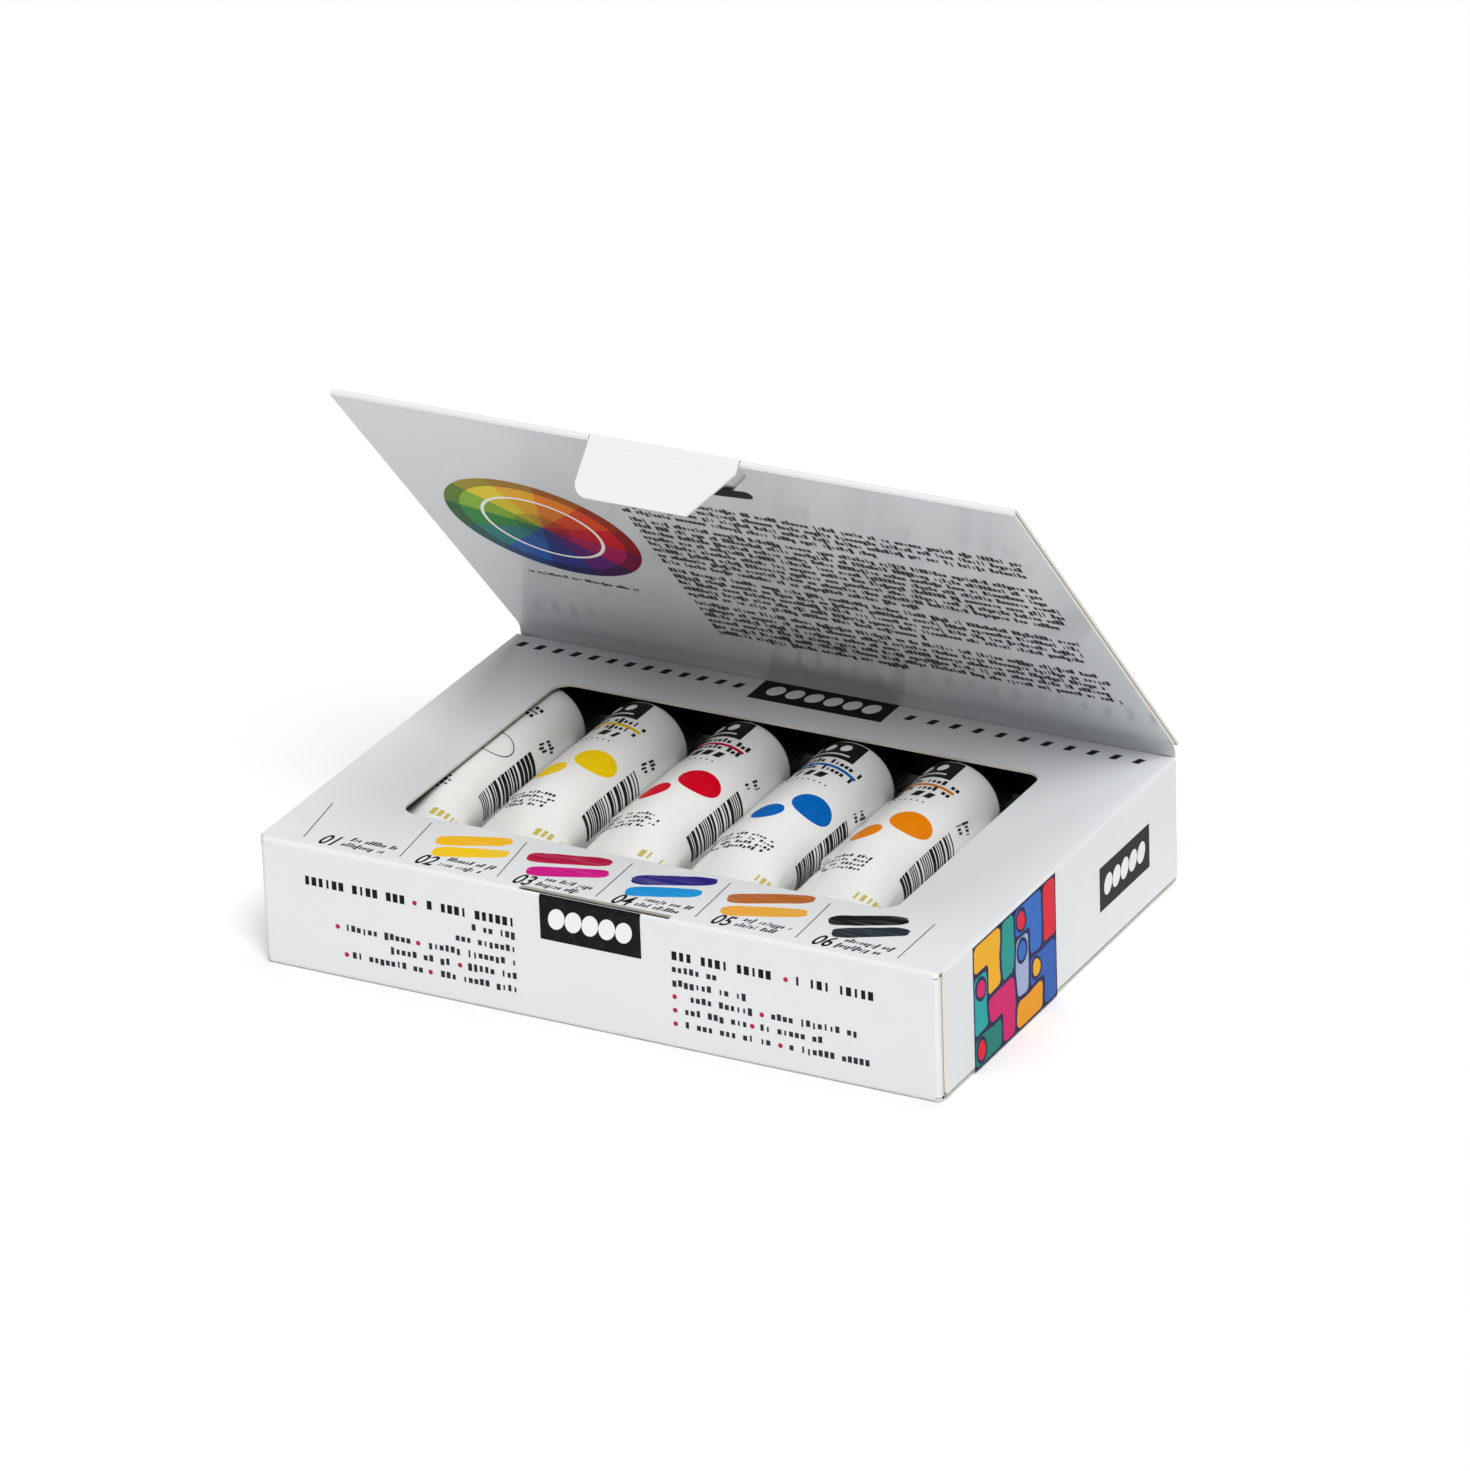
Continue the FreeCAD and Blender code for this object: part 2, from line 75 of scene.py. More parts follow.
paints = {
    "white": {"dab": "F4F4F2", "line": "8E9296", "paste": "F2F1EC", "printTurn": 0, "seed": 11},
    "yellow": {"dab": "F5CF00", "line": "E8C000", "paste": "F0BE10", "printTurn": 0, "seed": 23},
    "magenta": {"dab": "D60020", "line": "C4103C", "paste": "B8123C", "printTurn": 0, "seed": 37},
    "cyan": {"dab": "0064B8", "line": "1068B0", "paste": "0C6CB0", "printTurn": 12, "seed": 41},
    "ochre": {"dab": "EA8400", "line": "D27C14", "paste": "C8801C", "printTurn": 0, "seed": 59},
    "black": {"dab": "1C1D20", "line": "303236", "paste": "17181B", "printTurn": 0, "seed": 61},
}


def tint(code):
    # a colour as picked on screen, made linear
    shares = [int(code[start:start + 2], 16) / 255 for start in (0, 2, 4)]
    return tuple(s / 12.92 if s <= 0.04045 else ((s + 0.055) / 1.055) ** 2.4 for s in shares)


def scaled(values):
    return [value * mm for value in values]


def inMm(**sizes):
    # lengths and places given in millimetres
    return {key: scaled(size) if isinstance(size, tuple) else size * mm for key, size in sizes.items()}


# Selecting and shaping

def objectMode():
    bpy.ops.object.mode_set(mode="OBJECT")


def editMode():
    bpy.ops.object.mode_set(mode="EDIT")


def selectAll():
    bpy.ops.mesh.select_all(action="SELECT")


def only(piece):
    if bpy.context.mode != "OBJECT":
        objectMode()
    bpy.ops.object.select_all(action="DESELECT")
    if piece:
        piece.select_set(True)
        bpy.context.view_layer.objects.active = piece


def start(primitive, **settings):
    only(None)
    primitive(**settings)
    return bpy.context.object


def circle(points, fill, radius=1, **place):
    return start(bpy.ops.mesh.primitive_circle_add, vertices=points, radius=radius, fill_type=fill, **place)


def pick(piece, kind, parts, test):
    # leaves the piece in edit mode with these parts selected
    only(piece)
    editMode()
    bpy.ops.mesh.select_mode(type=kind)
    bpy.ops.mesh.select_all(action="DESELECT")
    objectMode()
    for part in parts:
        part.select = test(part)
    editMode()


def pickFaces(piece, test):
    pick(piece, "FACE", piece.data.polygons, test)


def cutFaces(piece, test):
    pickFaces(piece, test)
    bpy.ops.mesh.delete(type="FACE")


def keepInset(thickness, **settings):
    # insets the faces and leaves only what lies within
    selectAll()
    bpy.ops.mesh.inset(thickness=thickness, depth=0, **settings)
    bpy.ops.mesh.select_all(action="INVERT")
    bpy.ops.mesh.delete(type="FACE")


def pickPoints(piece, test):
    pick(piece, "VERT", piece.data.vertices, lambda vertex: test(vertex.co))


def modify(piece, kind, **settings):
    only(piece)
    modifier = piece.modifiers.new(kind, kind)
    for key, value in settings.items():
        setattr(modifier, key, value)
    bpy.ops.object.modifier_apply(modifier=modifier.name)
    return piece


def reshape(piece, move):
    for vertex in piece.data.vertices:
        vertex.co = move(vertex.co)
    piece.data.update()
    return piece


def join(pieces):
    only(pieces[0])
    for piece in pieces:
        piece.select_set(True)
    bpy.ops.object.join()
    return pieces[0]


def smooth(piece, degrees=40):
    only(piece)
    bpy.ops.object.shade_smooth_by_angle(angle=math.radians(degrees))
    return piece


def tidyNormals(piece):
    only(piece)
    editMode()
    selectAll()
    bpy.ops.mesh.remove_doubles(threshold=0.002 * mm)
    bpy.ops.mesh.normals_make_consistent(inside=False)
    objectMode()
    return piece


def extrudeRing(piece, move):
    # pulls the selected ring out and places it
    bpy.ops.mesh.extrude_region_move()
    objectMode()
    for vertex in piece.data.vertices:
        if vertex.select:
            vertex.co = move(vertex.co)
    editMode()


def coat(mesh, material):
    mesh.materials.clear()
    mesh.materials.append(material)


def finishPiece(piece, name, body, slot, material, *nodes):
    piece.name = name
    piece.data.name = name
    coat(piece.data, material)
    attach(piece, body)
    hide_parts(*nodes)
    return piece


# Shader maths

class Value:
    # a socket that can stand in a sum
    def __init__(self, tree, socket):
        self.tree = tree
        self.socket = socket

    def maths(self, operation, *others):
        node = self.tree.nodes.new("ShaderNodeMath")
        node.operation = operation
        for slot, item in zip(node.inputs, (self, *others)):
            if isinstance(item, Value):
                self.tree.links.new(item.socket, slot)
            else:
                slot.default_value = item
        return Value(self.tree, node.outputs[0])

    def __add__(self, other):
        return self.maths("ADD", other)

    def __sub__(self, other):
        return self.maths("SUBTRACT", other)

    def __mul__(self, other):
        return self.maths("MULTIPLY", other)

    def __rsub__(self, other):
        return self * -1 + other

    def __lt__(self, other):
        return self.maths("LESS_THAN", other)

    def __gt__(self, other):
        return self.maths("GREATER_THAN", other)

    __radd__ = __add__
    __rmul__ = __mul__


class Finish:
    def __init__(self, name, **constants):
        self.material = bpy.data.materials.new(name)
        self.material.use_nodes = True
        self.tree = self.material.node_tree
        self.tree.nodes.clear()
        self.shader = self.tree.nodes.new("ShaderNodeBsdfPrincipled")
        output = self.tree.nodes.new("ShaderNodeOutputMaterial")
        self.tree.links.new(self.shader.outputs[0], output.inputs[0])
        for key, value in constants.items():
            self.shader.inputs[key.replace("_", " ")].default_value = value

    def feed(self, socket, value):
        if isinstance(value, Value):
            self.tree.links.new(value.socket, socket)
        else:
            socket.default_value = value

    def node(self, kind, settings=None, sockets=None, output=0):
        node = self.tree.nodes.new(kind)
        for key, value in (settings or {}).items():
            setattr(node, key, value)
        for key, value in (sockets or {}).items():
            self.feed(node.inputs[key], value)
        return Value(self.tree, node.outputs[output])

    def place(self, scale=(1, 1, 1)):
        where = self.node("ShaderNodeTexCoord", output=3)
        return self.node("ShaderNodeMapping", {}, {"Vector": where, "Scale": scale})

    def axes(self, where):
        return [self.node("ShaderNodeSeparateXYZ", {}, {"Vector": where}, part) for part in range(3)]

    def reach(self, where, origin, direction):
        # distance from the origin along the direction
        across = self.node("ShaderNodeVectorMath", {"operation": "SUBTRACT"}, {0: where, 1: origin})
        return self.node("ShaderNodeVectorMath", {"operation": "DOT_PRODUCT"}, {0: across, 1: direction}, 1)

    def noise(self, where, scale, detail=2.0):
        return self.node("ShaderNodeTexNoise", {}, {"Vector": where, "Scale": scale, "Detail": detail})

    def mix(self, factor, first, second):
        colours = {0: factor, 6: first, 7: second}
        return self.node("ShaderNodeMix", {"data_type": "RGBA"}, colours, 2)

    def bump(self, height, distance, strength=1.0):
        sockets = {"Height": height, "Distance": distance, "Strength": strength}
        self.feed(self.shader.inputs["Normal"], self.node("ShaderNodeBump", {}, sockets))

    def finish(self, colour, roughness):
        self.feed(self.shader.inputs["Base Color"], colour)
        self.feed(self.shader.inputs["Roughness"], roughness)
        return self.material


def colour4(code):
    return (*tint(code), 1)


def mottledFinish(name, look):
    # one colour that runs into another in soft patches
    finish = Finish(name)
    patches = finish.noise(finish.place(), look["patches"], 3.0)
    colour = finish.mix(patches, colour4(look["colour"]), colour4(look["shade"]))
    if look["dents"]:
        finish.bump(patches, look["dents"])
    return finish.finish(colour, patches * look["uneven"] + look["roughness"])


boardLook = {
    # lining: a greyer paper, darkened further as painted shade for the lining that faces down under the lid
    "white": "E7E9EA", "shade": "E2E4E6", "lining": "C6CACD",
    "core": "ECE7DB", "coreShade": "DDD5C4",
    # inside: near-black inner side of the boards, a painted shadow that stands for the deep shade inside the
    # box; back: inner side of the back wall and lid, set to the lining's greyed tone, so partly painted shade
    "inside": "1E1C1A", "back": "C9CDD0",
    "coat": 0.035 * mm,            # printed skin over the raw core
    "foldRadius": 1.2 * mm,
    "roughness": 0.24, "liningRoughness": 0.075,
    "fibre": 2600, "fibreHigh": 0.02, "liningFibreHigh": 0.003,
    "swell": 26, "swellHigh": 0.8, "dents": 0.35 * mm, "flecks": 420, "wornAbove": 0.64,
}


def roundedDepth(first, second, radius):
    # depth under a skin that turns a corner of this radius, and how near the corner is
    one = (radius - first).maths("MAXIMUM", 0.0)
    two = (radius - second).maths("MAXIMUM", 0.0)
    return radius - (one * one + two * two).maths("SQRT"), one * two * (2 / radius ** 2)


def boardFinish(name, depthOf=None, under="inside", lining=False):
    look = boardLook
    finish = Finish(name)
    where = finish.place()
    patches = finish.noise(where, look["swell"], 3.0)
    fibre = finish.noise(where, look["fibre"], 2.0)
    sheet = look["lining" if lining else "white"]
    colour = finish.mix(patches * 0.5, colour4(sheet), colour4(look["shade"]))
    fibreHigh = look["liningFibreHigh" if lining else "fibreHigh"]
    uneven = patches * 0.05 + fibre * 0.04 + (look["liningRoughness" if lining else "roughness"] - 0.045)
    if depthOf:
        depth, corner = depthOf(finish, where)
        worn = corner * finish.noise(where, look["flecks"], 5.0) > look["wornAbove"]
        bare = (depth > look["coat"]).maths("MAXIMUM", worn)
        raw = finish.mix(fibre, colour4(look["core"]), colour4(look["coreShade"]))
        colour = finish.mix(bare, colour, raw)
        # inner faces take the under tone: the near-black inside tone is painted shadow, and the greyed lining
        # and back tones are partly painted shade
        colour = finish.mix(depth > board - look["coat"], colour, colour4(look[under]))
        uneven = uneven + bare * 0.4
    finish.bump(patches * look["swellHigh"] + fibre * fibreHigh, look["dents"])
    return finish.finish(colour, uneven)


def foldDepth(faces, radius=boardLook["foldRadius"]):
    # depth under two outer faces that meet in a fold, from their distances at x, y and z
    return lambda finish, where: roundedDepth(*faces(*finish.axes(where)), radius)


def nearSide(y):
    return (y - frontY).maths("MINIMUM", backY - y)


cartonDepth = foldDepth(lambda x, y, z: (nearSide(y), z.maths("MINIMUM", topZ - z)))
backWallDepth = foldDepth(lambda x, y, z: (backY - y, z))
dustDepth = foldDepth(lambda x, y, z: (nearSide(y), dustX - x.maths("ABSOLUTE")))
flapDepth = foldDepth(lambda x, y, z: (halfWidth - x.maths("ABSOLUTE"), topZ - z), board)
glueFlapDepth = foldDepth(lambda x, y, z: (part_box("back_glue_flap")[1].y - y, topZ - z))


def lidDepth(finish, where):
    under = finish.reach(where, lidHinge, lidInward)
    beyond = lidLength - finish.reach(where, lidHinge, lidAlong)
    side = under.maths("MINIMUM", lidThick - under)
    return roundedDepth(beyond, side, lidThick / 2)


def liningDepth(finish, where):
    depth = lidThick - finish.reach(where, lidHinge, lidInward)
    return depth, depth * 0


def tongueDepth(finish, where):
    depth = finish.reach(where, tongueCrease, tongueOut) * -1
    return depth, depth * 0


def coatBoards():
    plain = boardFinish("creaseBoard")
    carton = boardFinish("cartonBoard", cartonDepth)
    dust = boardFinish("dustFlapBoard", dustDepth)
    flap = boardFinish("endFlapBoard", flapDepth)
    looks = {
        "bottom_panel": carton, "front_wall": carton, "top_window_panel": carton,
        "back_wall": boardFinish("backWallBoard", backWallDepth, "back"),
        "back_glue_flap": boardFinish("glueFlapBoard", glueFlapDepth),
        "lid_outer_panel": boardFinish("lidBoard", lidDepth, "back"),
        "lid_lining": boardFinish("lidLiningBoard", liningDepth, "back", True),
        "lid_tongue": boardFinish("tongueBoard", tongueDepth, "lining"),
    }
    for side in ("left", "right"):
        looks[side + "_end_flap"] = flap
        looks[side + "_tuck_flap"] = plain
        for end in ("front", "back"):
            looks[end + "_dust_flap_" + side] = dust
    for node, material in looks.items():
        coat(frame["nodes"][node].data, material)
    return plain


creaseBoard = coatBoards()
print("boards coated")


# Ink and paint

def inkFinish(name, roughness, stretch, paler):
    finish = Finish(name, Specular_IOR_Level=0.06)
    shade = finish.node("ShaderNodeAttribute", {"attribute_name": "ink"})
    mottle = finish.noise(finish.place(stretch), 1.0, 3.0)
    thin = (mottle - 0.5).maths("MAXIMUM", 0.0) * paler
    colour = finish.mix(thin, shade, colour4("F2F2F0"))
    return finish.finish(colour, mottle * 0.2 + (roughness - 0.1))


ink = inkFinish("printInk", 0.36, (700, 700, 700), 0.05)
strokePaint = inkFinish("brushedPaint", 0.5, (110, 1500, 1500), 0.4)
film = 0.03 * mm                    # how thick each layer of print is
inkBlack = tint("17181A")
inkGrey = tint("2E3033")
inkWhite = tint("F2F2F0")
inkRed = tint("B42A48")
inkGold = tint("C9BC62")


def colourFaces(piece, pick):
    layer = piece.data.attributes.new("ink", "FLOAT_COLOR", "FACE")
    for face in piece.data.polygons:
        layer.data[face.index].color = (*pick(face.center), 1)
    return piece


def inked(piece, colour):
    return colourFaces(piece, lambda centre: colour)


def grid(left, low, right, high, columns, rows):
    piece = start(bpy.ops.mesh.primitive_grid_add, x_subdivisions=columns, y_subdivisions=rows, size=1)
    middle = Vector(((left + right) / 2, (low + high) / 2, 0))
    return reshape(piece, lambda p: Vector((p.x * (right - left), p.y * (high - low), 0)) + middle)


def plate(left, low, right, high, colour, columns=1, rows=1):
    return inked(grid(left, low, right, high, columns, rows), colour)


def oval(piece, x, y, radiusX, radiusY, lean):
    # a unit circle, stretched, leaned and moved
    turn = Matrix.Rotation(lean, 3, "Z")
    return reshape(piece, lambda p: turn @ Vector((p.x * radiusX, p.y * radiusY, 0)) + Vector((x, y, 0)))


def disc(x, y, radiusX, radiusY, colour, lean=0.0, points=32, cuts=0):
    piece = circle(points, "TRIFAN")
    if cuts:
        editMode()
        selectAll()
        bpy.ops.mesh.subdivide(number_cuts=cuts)
        objectMode()
    return inked(oval(piece, x, y, radiusX, radiusY, lean), colour)


def ring(x, y, radiusX, radiusY, width, colour, lean=0.0, points=64):
    piece = circle(points, "NOTHING")
    pickPoints(piece, lambda p: True)
    inner = (1 - width / radiusX, 1 - width / radiusY)
    extrudeRing(piece, lambda p: Vector((p.x * inner[0], p.y * inner[1], 0)))
    objectMode()
    oval(piece, x, y, radiusX, radiusY, lean)
    return inked(tidyNormals(piece), colour)


def row(left, y, right, count, width, height, lean, colour):
    # evenly spaced slanted marks
    piece = plate(left, y, left + width, y + height, colour)
    step = (right - left - width) / (count - 1)
    modify(piece, "ARRAY", count=count, use_relative_offset=False, use_constant_offset=True,
           constant_offset_displace=(step, 0, 0))
    return reshape(piece, lambda p: Vector((p.x + (p.y - y) * lean, p.y, 0)))


seeds = {
    "names": 70, "leftFront": 5, "rightFront": 8, "rightTiles": 3, "leftTiles": 7, "coverTiles": 5,
    "coverHead": 91, "coverText": 92, "backText": 95, "stripes": 96,
    "caption": 31, "lining": 17, "paragraph": 300,
}

# Blocks in place of letters: how far each rises, dips and narrows, drawn by lot
letterLook = {
    "rise": (0, 0, 0, 0.9, 1), "dip": (0, 0, 0, 0, 0, 0, 0, 0.9), "narrow": (1, 1, 1, 0.8, 0.45),
    "besideDot": 1.3,                  # letters left out on each side of a dot
}


def wordCells(count, draw, longest):
    # columns of one line that hold a letter
    cells = []
    at = 0
    while at < count:
        length = draw.randint(2, longest)
        cells += range(at, min(at + length, count))
        at += length + 1
    return set(cells)


def letterBlocks(lines, kind, colour, seed, lean=0.0, longest=9, tall=0.5, cuts=0, gaps=(), free=0.15):
    # each line is its left and right end, and the kind is the top, the pitch and the letter's width
    top, pitch, letter = kind
    draw = random.Random(seed)
    left = min(line[0] for line in lines)
    right = max(line[1] for line in lines)
    columns = max(2, round((right - left) / letter))
    rows = 2 * len(lines) - 1
    cellWide = (right - left) / columns
    cellHigh = pitch / 2
    low = top - rows * cellHigh
    piece = grid(left, low, right, top, columns, rows)
    words = [wordCells(columns, draw, longest) for line in lines]

    def blank(face):
        number = int((top - face.center.y) / cellHigh)
        if number % 2:
            return True
        ends = lines[number // 2]
        inLine = ends[0] < face.center.x < ends[1]
        for x, y in gaps:
            beside = abs(face.center.x - x) < letter * letterLook["besideDot"]
            if beside and abs(face.center.y - y) < cellHigh:
                return True
        return not inLine or int((face.center.x - left) / cellWide) not in words[number // 2]

    cutFaces(piece, blank)
    keepInset(cellWide * free, use_individual=True)
    objectMode()
    mesh = piece.data
    for face in mesh.polygons:
        rise = cellHigh * tall * draw.choice(letterLook["rise"])
        dip = cellHigh * tall * draw.choice(letterLook["dip"])
        narrow = draw.choice(letterLook["narrow"])
        middle = face.center.copy()
        for index in face.vertices:
            point = mesh.vertices[index].co
            point.x = middle.x + (point.x - middle.x) * narrow
            point.y += rise if point.y > middle.y else -dip
    if cuts:
        pickFaces(piece, lambda face: True)
        bpy.ops.mesh.subdivide(number_cuts=cuts)
        objectMode()
    reshape(piece, lambda p: Vector((p.x + (p.y - low) * lean, p.y, 0)))
    return inked(piece, colour)


def barBlock(left, low, right, high, count, seed):
    # stripes of uneven width, which stand for nothing
    draw = random.Random(seed)
    piece = grid(left, low, right, high, 8, count)
    dark = []
    while len(dark) < count:
        dark += [True] * draw.choice((1, 1, 2, 3)) + [False] * draw.choice((1, 1, 2))
    tall = (high - low) / count
    cutFaces(piece, lambda face: not dark[int((face.center.y - low) / tall)])
    objectMode()
    return inked(piece, inkBlack)


def lifted(piece, layers):
    return reshape(piece, lambda p: p + upZ * film * layers)


def figure(text, x, y, size, colour, tall=1.0, lean=0.25):
    # a plain number
    only(None)
    bpy.ops.object.text_add()
    letters = bpy.context.object
    letters.data.body = text
    letters.data.size = size
    letters.data.shear = lean
    letters.data.offset = 0.08 * mm      # heavier strokes
    letters.data.resolution_u = 4
    bpy.ops.object.convert(target="MESH")
    piece = bpy.context.object
    reshape(piece, lambda p: Vector((p.x + x, p.y * tall + y, 0)))
    return inked(piece, colour)


def panelFrame(origin, right, up):
    frameOf = Matrix((right, up, right.cross(up))).transposed().to_4x4()
    frameOf.translation = origin
    return frameOf


def overFold(p):
    # the front wall runs into the top panel by a round fold
    radius = boardLook["foldRadius"]
    rise = p.y - (topZ - radius)
    if rise <= 0:
        return p
    reach = radius + p.z
    turn = rise / radius
    return Vector((p.x, topZ - radius + reach * math.sin(turn), reach * math.cos(turn) - radius))


def layPrint(pieces, name, place, body, material, fold=None):
    piece = join(pieces)
    modify(piece, "SOLIDIFY", thickness=film, offset=1)
    if fold:
        reshape(piece, fold)
    piece.data.transform(place)
    return finishPiece(piece, name, body, "printed_board", material)


topFrame = panelFrame(upZ * topZ, acrossX, acrossY)
frontFrame = panelFrame(acrossY * frontY, acrossX, upZ)
rightFrame = panelFrame(acrossX * halfWidth, acrossY, upZ)
leftFrame = panelFrame(acrossX * -halfWidth, -acrossY, upZ)
backFrame = panelFrame(acrossY * backY, -acrossX, upZ)
coverFrame = panelFrame(tongueCrease, acrossX, -lidAlong)      # from the free edge to the hinge
liningFrame = panelFrame(lidHinge + lidInward * lidThick, acrossX, lidAlong)

# Top panel: ticks, numbers and brush strokes in front, marks and a dark label behind
topPrint = {
    **inMm(tickStart=-79.5, tickPitch=26.1, tickFront=-60, tickBack=-41, tickWidth=0.24,
           numberX=4.0, numberY=-61.2, numberSize=4.9,
           namesLeft=9.9, namesRight=(22.3, 21.38), namesKind=(-55.9, 3.0, 0.92),
           strokeThick=4.9, marksY=55.6, markWide=1.9, markHigh=2.7,
           leftMarks=(-86.6, -24.4), rightMarks=(20.4, 83.2), label=(-20.2, 51.8, 16.3, 63.2)),
    "tickLeans": (-3.0, -2.2, -2.5, -0.4, -0.7, -0.7, 0.1), "numberTall": 1.45,
    "leftCount": 13, "rightCount": 11, "markLean": 0.3,
    "strokes": [                        # colour, left end and right end
        ("F2B81A", -49.9, -48.9, -32.9, -42.2), ("F0C41C", -47.9, -54.4, -30.6, -48.4),
        ("B01040", -26.0, -47.7, -6.2, -42.8), ("CC1585", -22.6, -54.4, -4.0, -48.3),
        ("25237C", 2.2, -48.6, 21.1, -41.6), ("1490D4", 3.8, -54.7, 20.6, -48.4),
        ("B4642A", 27.2, -48.3, 46.1, -40.5), ("E6A438", 28.7, -54.5, 47.8, -47.8),
        ("101215", 53.9, -49.1, 70.9, -41.8), ("262E36", 57.5, -54.5, 73.6, -46.9),
    ],
}


strokeLook = {
    "points": 120, "endPower": 0.4, "sidePower": 0.62,     # lower powers make squarer ends and sides
    "leftRagged": 0.02, "rightRagged": 0.05, "ragWaves": 3.1, "wave": 0.12, "waves": 2.4, "narrower": 0.1,
    "seedStep": 2.7,
}


def brushStroke(colour, leftEnd, rightEnd, thick, seed):
    look = strokeLook
    piece = circle(look["points"], "NGON")
    across = rightEnd - leftEnd
    long = across.length
    turn = Matrix.Rotation(math.atan2(across.y, across.x), 3, "Z")
    middle = (leftEnd + rightEnd) / 2

    def shape(p):
        wide = math.copysign(abs(p.x) ** look["endPower"], p.x)
        high = math.copysign(abs(p.y) ** look["sidePower"], p.y)
        ragged = noise.noise(Vector((high * look["ragWaves"], seed, 0)))
        ragged *= look["rightRagged" if p.x > 0 else "leftRagged"]
        wave = noise.noise(Vector((wide * look["waves"], seed, high))) * look["wave"]
        side = high * (1 - look["narrower"] * wide) + wave
        return turn @ Vector(((wide + ragged) * long / 2, side * thick / 2, 0)) + middle

    return inked(reshape(piece, shape), tint(colour))


labelDab = {"wide": 0.184, "high": 0.24, "lean": -0.35}     # shares of the label's height


def darkLabel(left, low, right, high, count, rows=1):
    # a dark label with a row of pale dabs
    pieces = [plate(left, low, right, high, inkBlack, 1, rows)]
    tall = high - low
    step = (right - left) / (count + 1)
    for number in range(count):
        x = left + step * (number + 1)
        dab = disc(x, (low + high) / 2, tall * labelDab["wide"], tall * labelDab["high"], inkWhite,
                   labelDab["lean"])
        pieces.append(lifted(dab, 1))
    return pieces


def printTop():
    look = topPrint
    pieces = []
    for number, lean in enumerate(look["tickLeans"]):
        left = look["tickStart"] + number * look["tickPitch"]
        tick = plate(left - look["tickWidth"] / 2, look["tickFront"],
                     left + look["tickWidth"] / 2, look["tickBack"], inkBlack)
        slope = lean * mm / (look["tickBack"] - look["tickFront"])
        pieces.append(reshape(tick, lambda p: Vector((p.x + (p.y - look["tickFront"]) * slope, p.y, 0))))
    for number in range(len(look["tickLeans"]) - 1):
        left = look["tickStart"] + number * look["tickPitch"]
        pieces.append(figure("0" + str(number + 1), left + look["numberX"], look["numberY"],
                             look["numberSize"], inkBlack, look["numberTall"]))
        names = [(left + look["namesLeft"], left + right) for right in look["namesRight"]]
        pieces.append(letterBlocks(names, look["namesKind"], inkGrey, seeds["names"] + number,
                                   look["markLean"]))
    strokes = []
    for order, (colour, *ends) in enumerate(look["strokes"]):
        leftX, leftY, rightX, rightY = scaled(ends)
        strokes.append(brushStroke(colour, Vector((leftX, leftY, 0)), Vector((rightX, rightY, 0)),
                                   look["strokeThick"], order * strokeLook["seedStep"]))
    for side in ("left", "right"):
        left, right = look[side + "Marks"]
        pieces.append(row(left, look["marksY"], right, look[side + "Count"], look["markWide"],
                          look["markHigh"], look["markLean"], inkBlack))
    pieces += darkLabel(*look["label"], 6)
    layPrint(pieces, "topPanelPrint", topFrame, "box", ink)
    layPrint(strokes, "topPanelBrushStrokes", topFrame, "box", strokePaint)


printTop()
print("top panel printed")

# Front wall: a dark label between two blocks of print
frontPrint = {
    **inMm(label=(-14.0, 21.5, 12.6, 33.05), headKind=(25.5, 5.6, 1.85), bodyKind=(21.4, 3.5, 1.5),
           leftHead=(-77.6, -20.7), rightHead=(20.3, 73.0), dotRadius=0.62),
    "labelRows": 24,
    "leftBody": [(-33.0, -20.7), (-37.8, -20.7), (-67.0, -20.7), (-55.0, -20.7), (-65.5, -20.7)],
    "rightBody": [(20.3, 31.9), (20.3, 39.5), (22.6, 67.8), (22.6, 60.0), (22.6, 71.5)],
    "dots": [(-47.6, 23.9), (-69.0, 13.5), (-47.2, 13.5), (-36.1, 10.0), (-66.9, 6.5), (-44.2, 6.5),
             (50.2, 23.9), (21.0, 13.5), (43.7, 13.5), (21.0, 10.0), (41.1, 10.0), (21.0, 6.5), (48.3, 6.5)],
}


def printFront():
    look = frontPrint
    pieces = darkLabel(*look["label"], 5, look["labelRows"])
    dots = [scaled(dot) for dot in look["dots"]]
    for side in ("left", "right"):
        seed = seeds[side + "Front"]
        pieces.append(letterBlocks([look[side + "Head"]], look["headKind"], inkBlack, seed,
                                   longest=7, tall=0, gaps=dots))
        lines = [scaled(line) for line in look[side + "Body"]]
        pieces.append(letterBlocks(lines, look["bodyKind"], inkGrey, seed + 1,
                                   longest=8, tall=0.2, gaps=dots))
    for x, z in dots:
        pieces.append(disc(x, z, look["dotRadius"], look["dotRadius"], inkRed, points=20))
    layPrint(pieces, "frontWallPrint", frontFrame, "box", ink, overFold)


printFront()
print("front wall printed")

# Ends: a panel of joined coloured tiles and a dark label
endPrint = {
    **inMm(label=(19.4, 11.2, 46.7, 22.6), panel=(-47.6, 0.6, -4.2, 32.4)),
    "rows": ("AABCCD", "EABFCD", "EGGFHH", "IIGJJH"),      # cells with one letter make one tile
}
tileLook = {
    **inMm(gap=0.55, round=1.5, wobble=0.75, still=3.0), "waves": 150,
    "ground": "14174E",
    "tiles": {"A": "F7B408", "B": "0E9A90", "C": "2A6CC4", "D": "E3142E", "E": "12A8A6", "F": "A6B3DA",
              "G": "D6126C", "H": "2C60B8", "I": "0C8274", "J": "F4A20A"},
    "spots": {"C": "E3142E", "E": "D6126C", "H": "F7B408", "I": "E3142E", "F": "2A6CC4"},
    "spotSize": 0.27, "spotRim": 1.4, "spotTall": 1.2, "spotLean": 0.3,
    "elsewhere": Vector((31.7, 17.3, 9.1)),                # where the sideways wobble is read from
}


def cellSize(left, low, right, high, rows):
    return (right - left) / len(rows[0]), (high - low) / len(rows)


